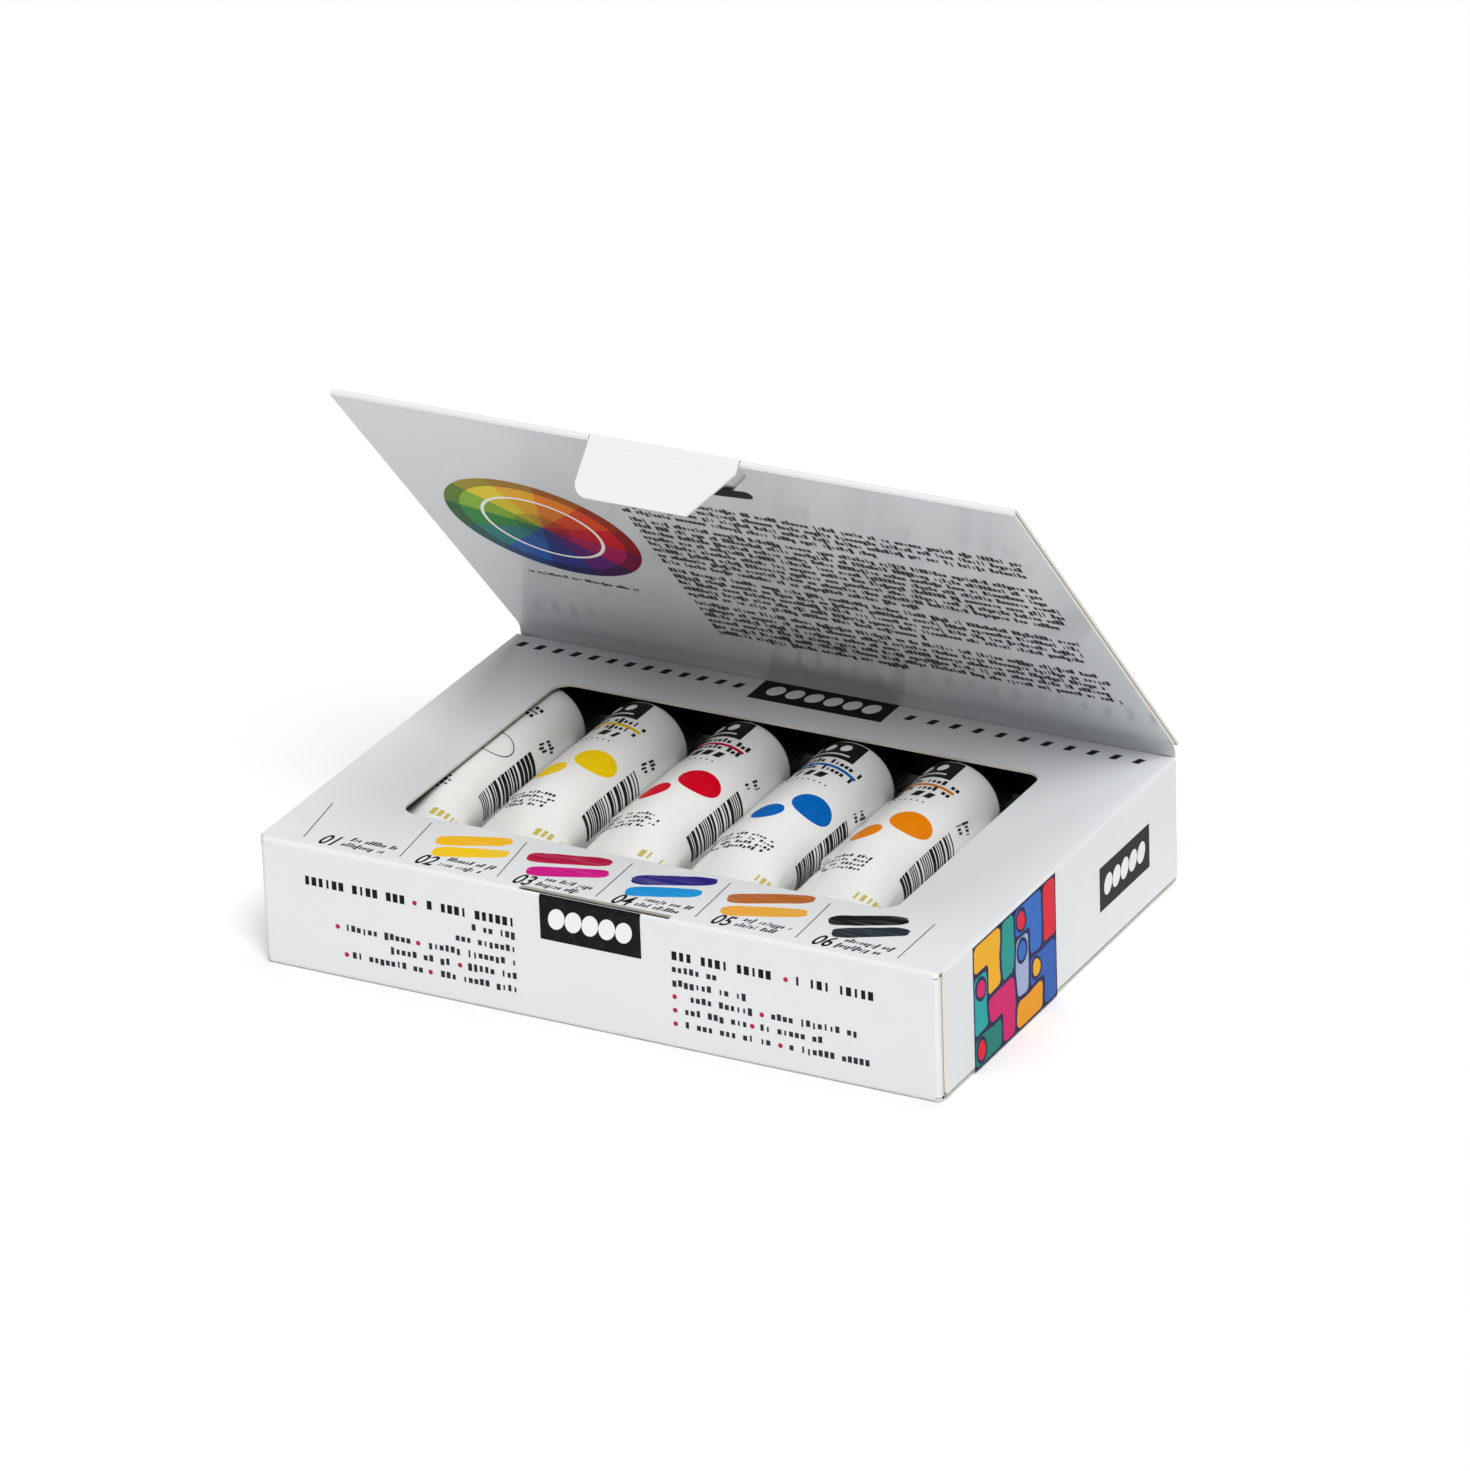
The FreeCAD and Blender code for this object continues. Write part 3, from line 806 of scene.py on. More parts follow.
def tileShape(panel, rows, letter):
    # the cells of one letter, joined, with round corners
    left, low, right, high = panel
    wide, tall = cellSize(*panel, rows)
    piece = grid(left, low, right, high, len(rows[0]), len(rows))

    def other(face):
        return rows[int((high - face.center.y) / tall)][int((face.center.x - left) / wide)] != letter

    cutFaces(piece, other)
    keepInset(tileLook["gap"])
    selectAll()
    bpy.ops.mesh.dissolve_limited(angle_limit=math.radians(2))
    selectAll()
    bpy.ops.mesh.bevel(offset=tileLook["round"], segments=4, affect="VERTICES")
    selectAll()
    bpy.ops.mesh.subdivide(number_cuts=3)
    objectMode()
    return piece


def tilePanel(panel, rows, seed):
    look = tileLook
    left, low, right, high = panel
    wide, tall = cellSize(*panel, rows)

    def wobble(p):
        inset = min(p.x - left, right - p.x, p.y - low, high - p.y)
        at = Vector((p.x * look["waves"], p.y * look["waves"], seed))
        shift = Vector((noise.noise(at), noise.noise(at + look["elsewhere"]), 0))
        return p + shift * look["wobble"] * min(max(inset / look["still"], 0), 1)

    pieces = [plate(left, low, right, high, tint(look["ground"]))]
    for letter in sorted(set("".join(rows))):
        tile = inked(tileShape(panel, rows, letter), tint(look["tiles"][letter]))
        pieces.append(lifted(reshape(tile, wobble), 1))
        if letter in look["spots"]:
            line = next(number for number, cells in enumerate(rows) if letter in cells)
            x = left + (rows[line].index(letter) + 0.5) * wide
            y = high - (line + 0.5) * tall
            size = min(wide, tall) * look["spotSize"]
            rim = (look["spotRim"], 2, look["ground"])
            for grow, layers, colour in (rim, (1.0, 3, look["spots"][letter])):
                spot = disc(x, y, size * grow, size * grow * look["spotTall"], tint(colour),
                            look["spotLean"], 40)
                pieces.append(lifted(reshape(spot, wobble), layers))
    return pieces


def printEnds():
    look = endPrint
    for side, place in (("right", rightFrame), ("left", leftFrame)):
        rows = look["rows"] if side == "right" else [line[::-1] for line in look["rows"][::-1]]
        pieces = tilePanel(look["panel"], rows, seeds[side + "Tiles"]) + darkLabel(*look["label"], 5)
        layPrint(pieces, side + "EndPrint", place, side + "_flap", ink)


printEnds()
print("ends printed")

# Cover of the lid and the back wall, kept plain
coverPrint = {
    **inMm(panel=(-84, 9, -34, 118), label=(-22, 92, 46, 112), head=(-22, 62), headKind=(84, 6.0, 2.3),
           dabs=(-15, 13.4, 58), dabSize=(5.0, 4.2), outline=0.3,
           textKind=(36, 4.4, 1.5), backKind=(24, 4.4, 1.5), stripes=(8, -74, 22, -44)),
    "rows": ("AABCCD", "EABFCD", "EGGFHH", "IIGJJH", "DCCBAA", "DCFBAE", "HHFGGE", "HJJGII"),
    "text": [(-22, 58), (-22, 49), (-22, 62), (-22, 20)],
    "backText": [(-70, -12), (-70, -20), (-70, -30)], "stripeCount": 52,
}


def printCover():
    look = coverPrint
    pieces = tilePanel(look["panel"], look["rows"], seeds["coverTiles"]) + darkLabel(*look["label"], 6)
    pieces.append(letterBlocks([look["head"]], look["headKind"], inkBlack, seeds["coverHead"],
                               longest=7, tall=0))
    first, step, y = look["dabs"]
    for number, colour in enumerate(paints):
        x = first + step * number
        if colour == "white":
            pieces.append(ring(x, y, *look["dabSize"], look["outline"], inkGrey, 0.5))
        else:
            pieces.append(disc(x, y, *look["dabSize"], tint(paints[colour]["dab"]), 0.5, 48))
    lines = [scaled(line) for line in look["text"]]
    pieces.append(letterBlocks(lines, look["textKind"], inkGrey, seeds["coverText"]))
    layPrint(pieces, "lidCoverPrint", coverFrame, "lid", ink)


def printBack():
    look = coverPrint
    lines = [scaled(line) for line in look["backText"]]
    pieces = [letterBlocks(lines, look["backKind"], inkGrey, seeds["backText"])]
    stripes = barBlock(*look["stripes"], look["stripeCount"], seeds["stripes"])
    pieces.append(reshape(stripes, lambda p: Vector((-p.y, p.x, 0))))
    layPrint(pieces, "backWallPrint", backFrame, "box", ink)


printCover()
printBack()
print("cover printed")

# Lining of the lid: a colour wheel and a block of small print
liningPrint = {
    **inMm(wheelX=-55.5, wheelY=67.4, radii=(25.1, 21.2, 15.8, 14.9, 7.2, 0.05),
           caption=(-71.5, -39.6), captionKind=(38.6, 2.4, 0.95),
           textLeft=-25.9, textRight=83.8, textTop=98.6, textPitch=3.3, letter=1.18,
           slit=(2.0, 106.7, 17.2, 110.7), slitRound=1.9),
    "rings": (0.36, 0.85, "white", 0.72, 0.46),           # shade of each ring, from the rim inwards
    "hues": ["D6001C", "E8480A", "F28200", "F6B400", "F4DC00", "8CC010",
             "0E9030", "00827E", "0A58B0", "243088", "5E1678", "B00058"],
    "paragraphs": (4, 8, 5, 6), "slitLean": 0.12, "textFree": 0.07, "captionFree": 0.08,
    "ragged": (0, 3), "lastShort": (30, 70),               # how much shorter a line is, in mm
    "between": 0.45,                                       # lines left free between paragraphs
}


def colourWheel():
    look = liningPrint
    sectors = len(look["hues"])
    piece = circle(sectors * 8, "NOTHING", look["radii"][0])
    pickPoints(piece, lambda p: True)
    for before, after in zip(look["radii"], look["radii"][1:]):
        extrudeRing(piece, lambda p: p * (after / before))
    objectMode()
    tidyNormals(piece)

    def hue(centre):
        turn = math.degrees(math.atan2(centre.y, centre.x)) % 360
        base = Vector(tint(look["hues"][int(turn / 360 * sectors + 0.5) % sectors]))
        ringNumber = sum(centre.length < radius for radius in look["radii"]) - 1
        if look["rings"][ringNumber] == "white":
            return inkWhite
        return tuple(base * look["rings"][ringNumber])

    colourFaces(piece, hue)
    if piece.data.polygons[0].normal.z < 0:
        piece.data.flip_normals()
    return reshape(piece, lambda p: p + Vector((look["wheelX"], look["wheelY"], 0)))


def printLining():
    look = liningPrint
    pieces = [colourWheel()]
    pieces.append(letterBlocks([look["caption"]], look["captionKind"], inkBlack, seeds["caption"],
                               free=look["captionFree"]))
    draw = random.Random(seeds["lining"])
    top = look["textTop"]
    for count in look["paragraphs"]:
        lines = []
        for number in range(count):
            short = draw.uniform(*look["ragged" if number < count - 1 else "lastShort"])
            lines.append((look["textLeft"], look["textRight"] - short * mm))
        kind = (top, look["textPitch"], look["letter"])
        pieces.append(letterBlocks(lines, kind, inkBlack, seeds["paragraph"] + count, free=look["textFree"]))
        top -= (count + look["between"]) * look["textPitch"]
    slit = plate(*look["slit"], inkBlack)               # painted shadow: a dark plate for the shade in the gap at the end of the tongue's cut-out
    pickPoints(slit, lambda p: True)
    bpy.ops.mesh.bevel(offset=look["slitRound"], segments=6, affect="VERTICES")
    objectMode()
    pieces.append(reshape(slit, lambda p: Vector((p.x, p.y + (p.x - look["slit"][0]) * look["slitLean"], 0))))
    layPrint(pieces, "lidLiningPrint", liningFrame, "lid", ink)


printLining()
print("lining printed")

# Tubes, each rolled up from a grid whose map then follows the skin
tube = {
    **inMm(radius=11.0, rimY=41.0, roundY=0.0, flatY=-46.0, crimpY=-51.0, taperLength=46.0,
           flatHalf=0.6, crimpHalf=0.7, foldHigh=0.12, wrinkle=0.45, softDent=0.14),
    "roll": math.radians(15), "taperPower": 1.8, "girthPower": 1.67, "around": 128, "along": 120,
    "foldsAround": 2.2, "foldsAlong": 0.05, "dentsAround": 0.9, "dentsAlong": 0.03, "dentSeed": 1.7,
    "stiffFrom": 0.8,                  # share of the taper beyond which the skin lies flat
    "shoulder": [(41.35, 10.85), (41.6, 10.5), (44.0, 4.75), (44.3, 4.6)],
    "thread": [(45.4, 4.6), (45.9, 5.0), (46.4, 4.6), (47.4, 4.6), (47.9, 5.0), (48.4, 4.6),
               (49.4, 4.6), (49.9, 5.0), (50.4, 4.6), (52.1, 4.6), (52.3, 4.4)],
    "mouth": [(52.3, 3.4), (43.4, 3.4)],
}


def halfWide(halfHigh):
    quarter = math.pi / 2
    share = (halfHigh / tube["radius"]) ** tube["girthPower"]
    return tube["radius"] * (quarter - (quarter - 1) * share)


def skinPoint(angle, y, lift, seed, place):
    # a point of the skin: the angle runs from the right side up and over
    share = min(max((tube["roundY"] - y) / tube["taperLength"], 0), 1)
    fall = 1 - share ** tube["taperPower"]
    high = tube["flatHalf"] + (tube["radius"] - tube["flatHalf"]) * fall
    if y < tube["flatY"]:
        depth = (tube["flatY"] - y) / (tube["flatY"] - tube["crimpY"])
        high = tube["crimpHalf"] + tube["foldHigh"] * abs(math.sin(depth * math.pi * 2))
    wide = halfWide(min(high, tube["radius"]))
    across, upward = math.cos(angle), math.sin(angle)
    folds = noise.noise(Vector((across * tube["foldsAround"], upward * tube["foldsAround"],
                                y / mm * tube["foldsAlong"] + seed)))
    soft = noise.noise(Vector((across * tube["dentsAround"], seed * tube["dentSeed"],
                               y / mm * tube["dentsAlong"])))
    pressed = share * (1 - share) * 4
    inward = tube["wrinkle"] * pressed * max(folds, 0) + tube["softDent"] * max(soft, 0)
    wide += lift - inward
    high += lift - (inward if share < tube["stiffFrom"] else 0)
    local = Vector((wide * across, 0, high * upward))
    turned = Matrix.Rotation(-tube["roll"], 3, "Y") @ local
    return Vector((place.x, y, place.z)) + turned


def latheRings(piece, rings, place):
    for y, radius in rings:
        def put(p):
            flat = Vector((p.x - place.x, 0, p.z - place.z)).normalized() * radius * mm
            return Vector((place.x, y * mm, place.z)) + flat
        extrudeRing(piece, put)


def tubeSkin(colour, place):
    look = tube
    seed = paints[colour]["seed"]
    piece = grid(-0.5, -0.5, 0.5, 0.5, look["around"], look["along"])

    def roll(p):
        angle = math.pi * 2 * (0.5 - p.x) - math.pi / 2
        y = look["crimpY"] + (p.y + 0.5) * (look["rimY"] - look["crimpY"])
        return skinPoint(angle, y, 0, seed, place)

    reshape(piece, roll)
    tidyNormals(piece)
    pickPoints(piece, lambda p: p.y > look["rimY"] - 0.01 * mm)
    latheRings(piece, look["shoulder"] + look["thread"] + look["mouth"], place)
    bpy.ops.mesh.edge_face_add()
    pickPoints(piece, lambda p: p.y < look["crimpY"] + 0.01 * mm)
    bpy.ops.mesh.edge_face_add()
    tidyNormals(piece)
    return smooth(piece, 50)


lacquerLook = {
    "white": "FAFAF7", "shade": "F3F3F0", "metal": "B9BCBE", "bareFrom": tube["rimY"] + 0.4 * mm,
    "patches": 90, "grain": 1500, "dents": 0.3 * mm, "roughness": 0.22,
}


def lacquerFinish(colour):
    look = lacquerLook
    finish = Finish(colour + "TubeLacquer", Coat_Weight=0.25, Coat_Roughness=0.12)
    where = finish.place()
    x, y, z = finish.axes(where)
    patches = finish.noise(where, look["patches"], 3.0)
    grain = finish.noise(where, look["grain"], 2.0)
    white = finish.mix(patches, colour4(look["white"]), colour4(look["shade"]))
    bare = y > look["bareFrom"]
    skin = finish.mix(bare, white, colour4(look["metal"]))
    finish.feed(finish.shader.inputs["Metallic"], bare * 0.9)
    finish.bump(patches * 0.6 + grain * 0.03, look["dents"])
    return finish.finish(skin, patches * 0.12 + grain * 0.06 + look["roughness"])


tubePrint = {
    "label": (-24.0, 31.8, 2.57, 40.7), "labelLine": (-22.0, 33.6, 0.6, 34.2),
    "labelDabs": [(-10.4, 37.4), (-6.2, 37.4), (-2.0, 37.4)],
    "band": (-22.0, 26.9, 5.95, 28.0),
    "bandText": [((-20, 6.6), (30.3, 3.4, 1.25)), ((-20, 5.8), (26.4, 3.4, 1.25))],
    "word": (-21.0, 2.9), "wordKind": (24.0, 7.2, 2.9),
    "dots": (-18.0, 18.2, 2.3, 14),
    "dab": (4.4, 8.4, 5.5, 4.9, 0.5), "drop": (-3.6, -0.6, 3.0, 4.4, -0.55),
    "names": [(-15.0, 2.2), (-14.0, 3.0), (-16.0, 3.4), (-13.0, 2.6)], "namesKind": (-11.8, 1.75, 0.95),
    "bars": (11.9, -11.0, 19.2, 17.0), "barCount": 58,
    "note": [(11.6, 15.4), (11.6, 14.6)], "noteKind": (25.0, 3.2, 0.95),
    "code": (3.4, 12.5), "codeKind": (-25.2, 6.4, 1.7),
    "labelDab": (1.3, 1.7), "dotSize": (0.45, 0.5), "outline": 0.3,
}


def printTube(colour, place):
    # the values are in mm on the unrolled skin
    look = {key: scaled(value) if isinstance(value, tuple) else value for key, value in tubePrint.items()}
    seed = paints[colour]["seed"]
    dabColour = tint(paints[colour]["dab"])
    pieces = [plate(*look["label"], inkBlack, 26, 4)]
    pieces.append(lifted(plate(*look["labelLine"], inkWhite, 22, 1), 1))
    for x, y in look["labelDabs"]:
        pieces.append(lifted(disc(x * mm, y * mm, *look["labelDab"], inkWhite, -0.3, cuts=1), 1))
    pieces.append(plate(*look["band"], tint(paints[colour]["line"]), 28, 1))

    def blocks(lines, kind, colour, number, *shape):
        pieces.append(letterBlocks(lines, kind, colour, seed + number, *shape))

    for line, kind in look["bandText"]:
        blocks([scaled(line)], scaled(kind), inkBlack, 1)
    blocks([look["word"]], look["wordKind"], inkBlack, 2, 0.25, 8, 0.0, 3)
    left, y, right = scaled(tubePrint["dots"][:3])
    pieces.append(row(left, y, right, tubePrint["dots"][3], *look["dotSize"], 0, inkGrey))
    for shape, points, cuts in (("dab", 48, 5), ("drop", 40, 3)):
        form, lean = look[shape][:4], tubePrint[shape][4]
        if colour == "white":
            pieces.append(ring(*form, look["outline"] * mm, inkGrey, lean))
        else:
            pieces.append(disc(*form, dabColour, lean, points, cuts))
    names = [scaled(line) for line in look["names"]]
    blocks(names, look["namesKind"], inkGrey, 3, 0.2)
    pieces.append(barBlock(*look["bars"], look["barCount"], seed + 4))
    notes = [scaled(line) for line in look["note"]]
    blocks(notes, look["noteKind"], inkGrey, 5, 0.2)
    blocks([look["code"]], look["codeKind"], inkGold, 6, 0.2, 9, 0.0, 2)
    piece = join(pieces)
    modify(piece, "SOLIDIFY", thickness=film, offset=1)
    turn = math.radians(paints[colour]["printTurn"])

    def wrap(p):
        angle = math.pi / 2 - p.x / tube["radius"] - tube["roll"] - turn
        return skinPoint(angle, p.y, p.z + film, seed, place)

    reshape(piece, wrap)
    return finishPiece(piece, colour + "TubePrint", "box", "tube_metal", ink)


# Screw caps: one is modelled, then copied to each neck
cap = {
    "flutes": 20, "pointsPerFlute": 6,
    "outside": [(44.3, 8.4, 0.0), (46.0, 8.27, 0.0), (46.4, 8.24, 0.4), (57.5, 7.36, 0.4),
                (57.9, 7.3, 0.0), (58.45, 7.0, 0.0), (58.8, 6.4, 0.0)],
    "dish": [(58.8, 5.6, 0.0), (58.5, 5.3, 0.0)],
    "bore": 5.2, "boreEnd": 57.4,
    "colour": "131416", "scuffed": "2A2B2E", "patches": 160, "scuffs": (1200, 160, 1200), "dents": 0.08 * mm,
}


def capShape():
    look = cap
    points = look["flutes"] * look["pointsPerFlute"]
    piece = circle(points, "NGON", look["bore"] * mm, rotation=(math.pi / 2, 0, 0),
                   location=(0, look["boreEnd"] * mm, 0))
    bpy.ops.object.transform_apply(location=True, rotation=True, scale=True)
    pickPoints(piece, lambda p: True)
    rings = [(look["outside"][0][0], look["bore"], 0.0)] + look["outside"] + look["dish"]
    for y, radius, depth in rings:
        def put(p):
            angle = math.atan2(p.z, p.x)
            groove = depth * max(0, math.cos(angle * look["flutes"])) ** 2
            size = (radius - groove) * mm
            return Vector((size * math.cos(angle), y * mm, size * math.sin(angle)))
        extrudeRing(piece, put)
    bpy.ops.mesh.edge_face_add()
    tidyNormals(piece)
    return smooth(piece, 35)


def capFinish():
    look = cap
    finish = Finish("capPlastic")
    patches = finish.noise(finish.place(), look["patches"], 3.0)
    scuffs = finish.noise(finish.place(look["scuffs"]), 1.0, 4.0)
    colour = finish.mix(scuffs * 0.3, colour4(look["colour"]), colour4(look["scuffed"]))
    finish.bump(patches * 0.3 + scuffs * 0.2, look["dents"])
    return finish.finish(colour, patches * 0.15 + 0.28)


pasteLook = {"lumps": 220, "shade": 0.6, "dents": 0.3 * mm}


def pasteFinish(colour):
    look = pasteLook
    finish = Finish(colour + "PaintPaste")
    lumps = finish.noise(finish.place(), look["lumps"], 4.0)
    base = colour4(paints[colour]["paste"])
    shaded = finish.mix(lumps * 0.25, base, (*[share * look["shade"] for share in base[:3]], 1))
    finish.bump(lumps, look["dents"])
    return finish.finish(shaded, lumps * 0.2 + 0.3)


def makeTubes():
    firstCap = capShape()
    plastic = capFinish()
    for colour in paints:
        place = Vector(joints[colour + "_cap_turn"]["pos_m"])
        skin = tubeSkin(colour, place)
        finishPiece(skin, colour + "TubeSkin", "box", "tube_metal", lacquerFinish(colour), colour + "_tube")
        printTube(colour, place)
        copy = firstCap.copy()
        copy.data = firstCap.data.copy()
        bpy.context.scene.collection.objects.link(copy)
        copy.data.transform(Matrix.Translation((place.x, 0, place.z)))
        finishPiece(copy, colour + "ScrewCap", colour + "_cap", "cap_plastic", plastic, colour + "_cap")
        coat(frame["nodes"][colour + "_paint"].data, pasteFinish(colour))
    bpy.data.objects.remove(firstCap)


makeTubes()
print("tubes filled and capped")


# Formed tray, drawn down from one sheet
tray = {
    **inMm(shelf=9.6, rest=15.3, foot=0.9, sideFoot=4.4, ridgeTop=21.4, ridgeStart=0.4, ridgeEnd=38.8,
           ridgeRound=3.0, restEnd=-42.2, soft=1.6, wall=0.45, seatGap=0.35, inset=0.1, endFoot=1.5,
           dents=0.2),
    "columns": 300, "rows": 110,
    "colour": "E9EAE8", "shade": "DFE1E0", "patches": 60, "uneven": 0.15, "roughness": 0.22,
}


def ease(share):
    share = min(max(share, 0), 1)
    return share * share * (3 - 2 * share)


def trayHeight(x, y, places):
    look = tray
    soft = look["soft"]
    axisZ = places[0].z
    pitch = places[1].x - places[0].x
    nearest = min(abs(x - place.x) for place in places)
    trough = tube["radius"] + look["seatGap"]
    ridge = look["ridgeTop"]
    if nearest < trough:
        ridge = axisZ - math.sqrt(trough ** 2 - nearest ** 2)
    crown = look["ridgeTop"] - max(0, abs(nearest - pitch / 2)) ** 2 / look["ridgeRound"] / 2
    ridge = max(look["shelf"], min(ridge, crown))
    inRidge = ease((y - look["ridgeStart"]) / soft) * ease((look["ridgeEnd"] - y) / soft)
    height = look["shelf"] + (ridge - look["shelf"]) * inRidge
    inRest = ease((look["restEnd"] - y) / soft)
    return max(height, look["shelf"] + (look["rest"] - look["shelf"]) * inRest)


def makeTray():
    look = tray
    low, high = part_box("formed_tray")
    places = [Vector(joints[colour + "_cap_turn"]["pos_m"]) for colour in paints]
    inset = look["inset"]
    piece = grid(low.x + inset, low.y + inset, high.x - inset, high.y - inset, look["columns"], look["rows"])
    edge = abs(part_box("left_tuck_flap")[1].x) - look["endFoot"]

    def rim(p):
        return min(p.x - low.x, high.x - p.x, p.y - low.y, high.y - p.y) < inset * 1.1

    reshape(piece, lambda p: Vector((p.x, p.y, trayHeight(p.x, p.y, places))))
    pickPoints(piece, rim)
    bpy.ops.mesh.select_mode(type="EDGE")
    objectMode()
    for line in piece.data.edges:
        line.select = all(rim(piece.data.vertices[index].co) for index in line.vertices)
    editMode()

    def drop(p):
        return Vector((p.x, p.y, look["sideFoot"] if abs(p.x) > edge else look["foot"]))

    extrudeRing(piece, drop)
    objectMode()
    tidyNormals(piece)
    modify(piece, "SOLIDIFY", thickness=look["wall"], offset=-1)
    smooth(piece, 60)
    plastic = mottledFinish("trayPlastic", look)
    finishPiece(piece, "formedTraySheet", "box", "tray_plastic", plastic, "formed_tray")


makeTray()
print("tray formed")


# Soft creases over the hinges
crease = {
    **inMm(skin=0.05, lift=0.03, reach=2.6, lidRadius=1.1, tongueRadius=0.5, liningStart=3.4,
           liningBend=1.2, liningFoot=1.7, liningRise=1.6, liningInset=0.1),
    "steps": 24, "columns": 60, "liningRows": 16, "lipTurn": math.radians(70),
    "sweep": 0.5,                      # share of a strip's rows that lie on the round
}


def thinSkin(piece, name, thickness, outward=None):
    # makes a sheet a thin shell that faces outward
    if outward and piece.data.polygons[0].normal.dot(outward) < 0:
        piece.data.flip_normals()
    modify(piece, "SOLIDIFY", thickness=thickness, offset=-1)
    smooth(piece, 60)
    piece.name = name
    piece.data.name = name
    return piece


def creaseStrip(name, corner, firstWay, secondWay, along, low, high, radius):
    # a thin skin that runs along one face, round the corner and down the other
    look = crease
    piece = grid(low, -1, high, 1, look["columns"], look["steps"])
    half = firstWay.angle(secondWay) / 2
    inside = (firstWay + secondWay).normalized()
    centre = corner + inside * (radius / math.sin(half))
    tangent = radius / math.tan(half)
    turn = math.pi / 2 - half
    sweep = look["sweep"]
    outer = radius + look["lift"]
    acrossFold = (firstWay - secondWay).normalized()

    def lay(p):
        share = abs(p.y)
        way, sign = (firstWay, 1) if p.y < 0 else (secondWay, -1)
        angle = turn * min(share / sweep, 1)
        spot = centre - inside * outer * math.cos(angle) + acrossFold * outer * math.sin(angle) * sign
        if share > sweep:
            spot += way * (look["reach"] - tangent) * (share - sweep) / (1 - sweep)
        return spot + along * p.x

    thinSkin(reshape(piece, lay), name, look["skin"], -inside)
    piece.data.materials.append(creaseBoard)
    corner + firstWay * tangent
    corner + secondWay * tangent
    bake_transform(piece)


def liningFold():
    # the lining runs on past its lower edge, down to the window panel
    look = crease
    low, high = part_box("lid_lining")
    raised = lidInward * (lidThick + look["lift"])
    top = lidHinge + lidAlong * look["liningStart"] + raised
    edge = lidHinge + lidAlong * look["liningBend"] + raised
    foot = Vector((0, backY - look["liningFoot"], topZ + look["lift"]))
    over = foot + upZ * look["liningRise"]
    inset = look["liningInset"]
    piece = grid(low.x + inset, 0, high.x - inset, 1, look["columns"], look["liningRows"])

    def drape(p):
        t, s = p.y, 1 - p.y
        curve = foot * s ** 3 + over * 3 * s * s * t + edge * 3 * s * t * t + top * t ** 3
        return curve + acrossX * p.x

    thinSkin(reshape(piece, drape), "liningFold", look["skin"], lidInward)
    # the lining's greyed tone, partly painted shade
    piece.data.materials.append(boardFinish("liningFoldBoard", lining=True))
    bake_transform(piece)


def makeCreases():
    look = crease
    liningFold()
    down = -upZ
    wallLow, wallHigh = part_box("back_wall")
    creaseStrip("lidCrease", lidHinge, down, lidAlong, acrossX, wallLow.x, wallHigh.x,
                look["lidRadius"])
    tongueLow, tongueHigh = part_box("lid_tongue")
    creaseStrip("tongueCrease", tongueCrease, -lidAlong, tongueDown, acrossX, tongueLow.x, tongueHigh.x,
                look["tongueRadius"])
    for side, sign in (("left", -1), ("right", 1)):
        flapLow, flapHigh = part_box(side + "_end_flap")
        creaseStrip(side + "EndCrease", Vector((sign * halfWidth, 0, topZ)), Vector((-sign, 0, 0)), down,
                    acrossY, flapLow.y, flapHigh.y, board)


makeCreases()


def cornerFold(name, x, y, z, outward):
    # the round corner where three folds meet, cut from a ball
    radius = boardLook["foldRadius"]
    piece = start(bpy.ops.mesh.primitive_uv_sphere_add, segments=48, ring_count=24, radius=radius)
    for axis in range(3):
        normal = [0, 0, 0]
        normal[axis] = outward[axis]
        pickFaces(piece, lambda face: True)
        bpy.ops.mesh.bisect(plane_co=(0, 0, 0), plane_no=normal, clear_inner=True)
    objectMode()
    thinSkin(piece, name, crease["skin"] * 2)
    inward = Vector(outward) * -radius
    piece.data.transform(Matrix.Translation(Vector((x, y, z)) + inward))
    finishPiece(piece, name, "box", "printed_board", creaseBoard)


def flapLip(name, sign, startY, endY, high):
    # the end flap's lower fold, where its tuck is cut short
    radius = boardLook["foldRadius"]
    piece = grid(startY, 0, endY, 1, 4, 8)

    def curl(p):
        angle = crease["lipTurn"] * p.y
        out = halfWidth - radius + radius * math.cos(angle)
        return Vector((sign * out, p.x, high - radius * math.sin(angle)))

    thinSkin(reshape(piece, curl), name, crease["skin"] * 3, acrossX * sign)
    side = "right" if sign > 0 else "left"
    finishPiece(piece, name, side + "_flap", "printed_board", creaseBoard)


def makeCorners():
    for side, sign in (("Left", -1), ("Right", 1)):
        cornerFold("frontTopCorner" + side, sign * dustX, frontY, topZ, (sign, -1, 1))
        cornerFold("frontBottomCorner" + side, sign * dustX, frontY, 0, (sign, -1, -1))
        cornerFold("backBottomCorner" + side, sign * dustX, backY, 0, (sign, 1, -1))
        cornerFold("backTopCorner" + side, sign * dustX, backY, topZ, (sign, 1, 1))
        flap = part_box(side.lower() + "_end_flap")
        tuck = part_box(side.lower() + "_tuck_flap")
        flapLip(side.lower() + "FlapLipFront", sign, flap[0].y, tuck[0].y, flap[0].z)
        flapLip(side.lower() + "FlapLipBack", sign, tuck[1].y, flap[1].y, flap[0].z)


makeCorners()
print("creases laid")

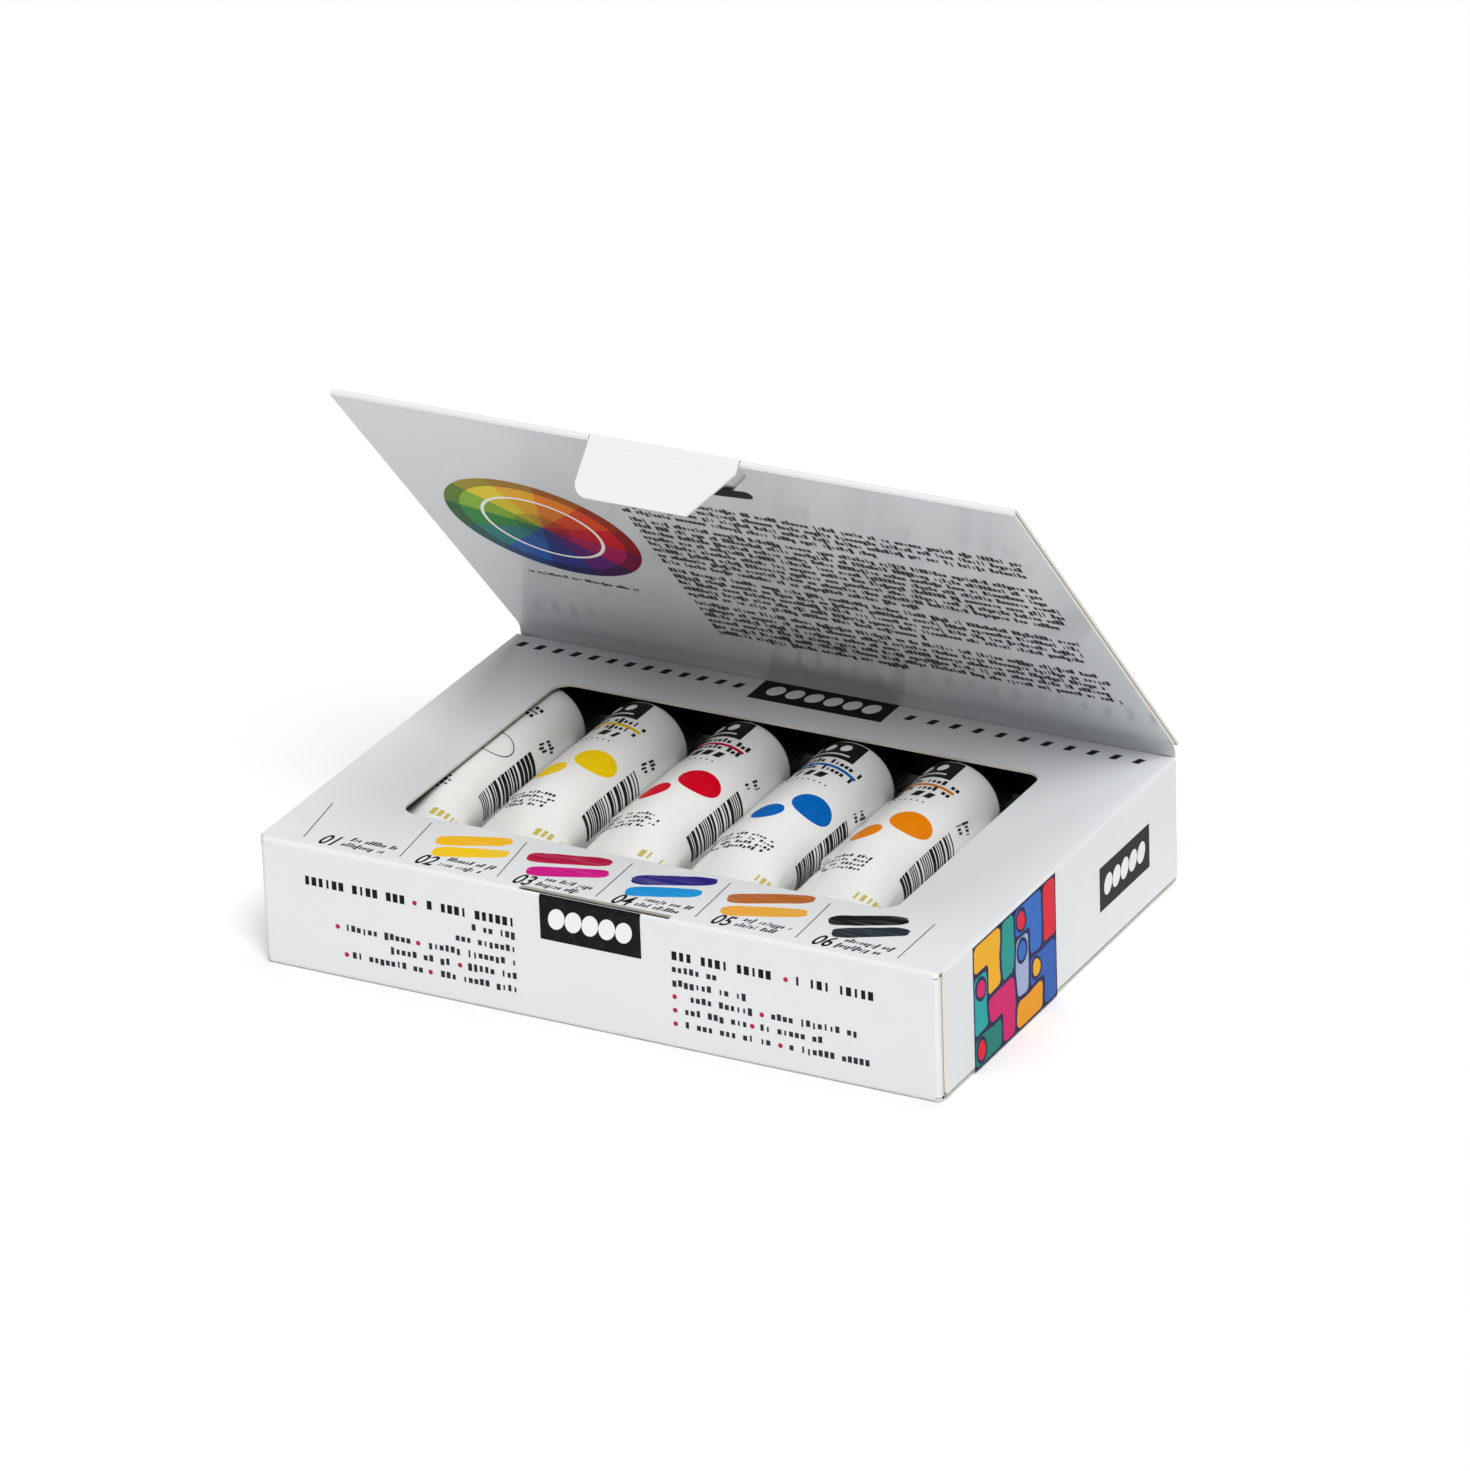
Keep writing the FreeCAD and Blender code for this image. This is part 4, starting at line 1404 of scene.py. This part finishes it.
# Floor, light and camera
stageLook = {
    "floor": {"colour": "FAFAFA", "shade": "F8F8F8", "patches": 30, "dents": 0,
              "uneven": 0.1, "roughness": 0.6},
    "floorSize": 9.0, "world": 0.14, "spread": math.radians(30),
    "lamps": {                              # where each shines from, and how strongly
        "mainLamp": ((0.353, -0.452, 0.819), 2.45),
        "backLamp": ((0.0, 0.309, 0.951), 1.0),
        "frontFill": ((0.0, -0.819, 0.574), 0.12),
    },
    "camera": (0.88181, -1.61165, 0.90780),
    "right": (0.88501, 0.46441, -0.03256), "up": (-0.17086, 0.38906, 0.90523),
    "back": (0.43310, -0.79557, 0.42367),
    "lens": 210.2, "sensor": 36.0,
}


def softLamp(name, towards, strength):
    # a broad lamp, far off, so that the floor is lit evenly
    lamp = bpy.data.lights.new(name, "SUN")
    lamp.energy = strength
    lamp.angle = stageLook["spread"]
    light = bpy.data.objects.new(name, lamp)
    bpy.context.scene.collection.objects.link(light)
    light.rotation_euler = (-Vector(towards)).to_track_quat("-Z", "Y").to_euler()


def makeStage():
    look = stageLook
    floor = start(bpy.ops.mesh.primitive_grid_add, x_subdivisions=4, y_subdivisions=4, size=look["floorSize"])
    floor.name = "floor"
    floor.data.materials.append(mottledFinish("paleFloor", look["floor"]))
    scene = bpy.context.scene
    scene.view_settings.view_transform = "Standard"
    world = bpy.data.worlds.new("studio")
    scene.world = world
    world.use_nodes = True
    background = world.node_tree.nodes["Background"]
    background.inputs[0].default_value = (1.0, 1.0, 1.0, 1)
    background.inputs[1].default_value = look["world"]
    for name, (towards, strength) in look["lamps"].items():
        softLamp(name, towards, strength)
    view = bpy.data.cameras.new("photoCamera")
    view.lens = look["lens"]
    view.sensor_width = look["sensor"]
    view.sensor_fit = "HORIZONTAL"
    view.clip_end = 50
    camera = bpy.data.objects.new("photoCamera", view)
    scene.collection.objects.link(camera)
    turned = Matrix((look["right"], look["up"], look["back"])).transposed().to_4x4()
    camera.matrix_world = Matrix.Translation(look["camera"]) @ turned
    scene.camera = camera


makeStage()
print("stage set")
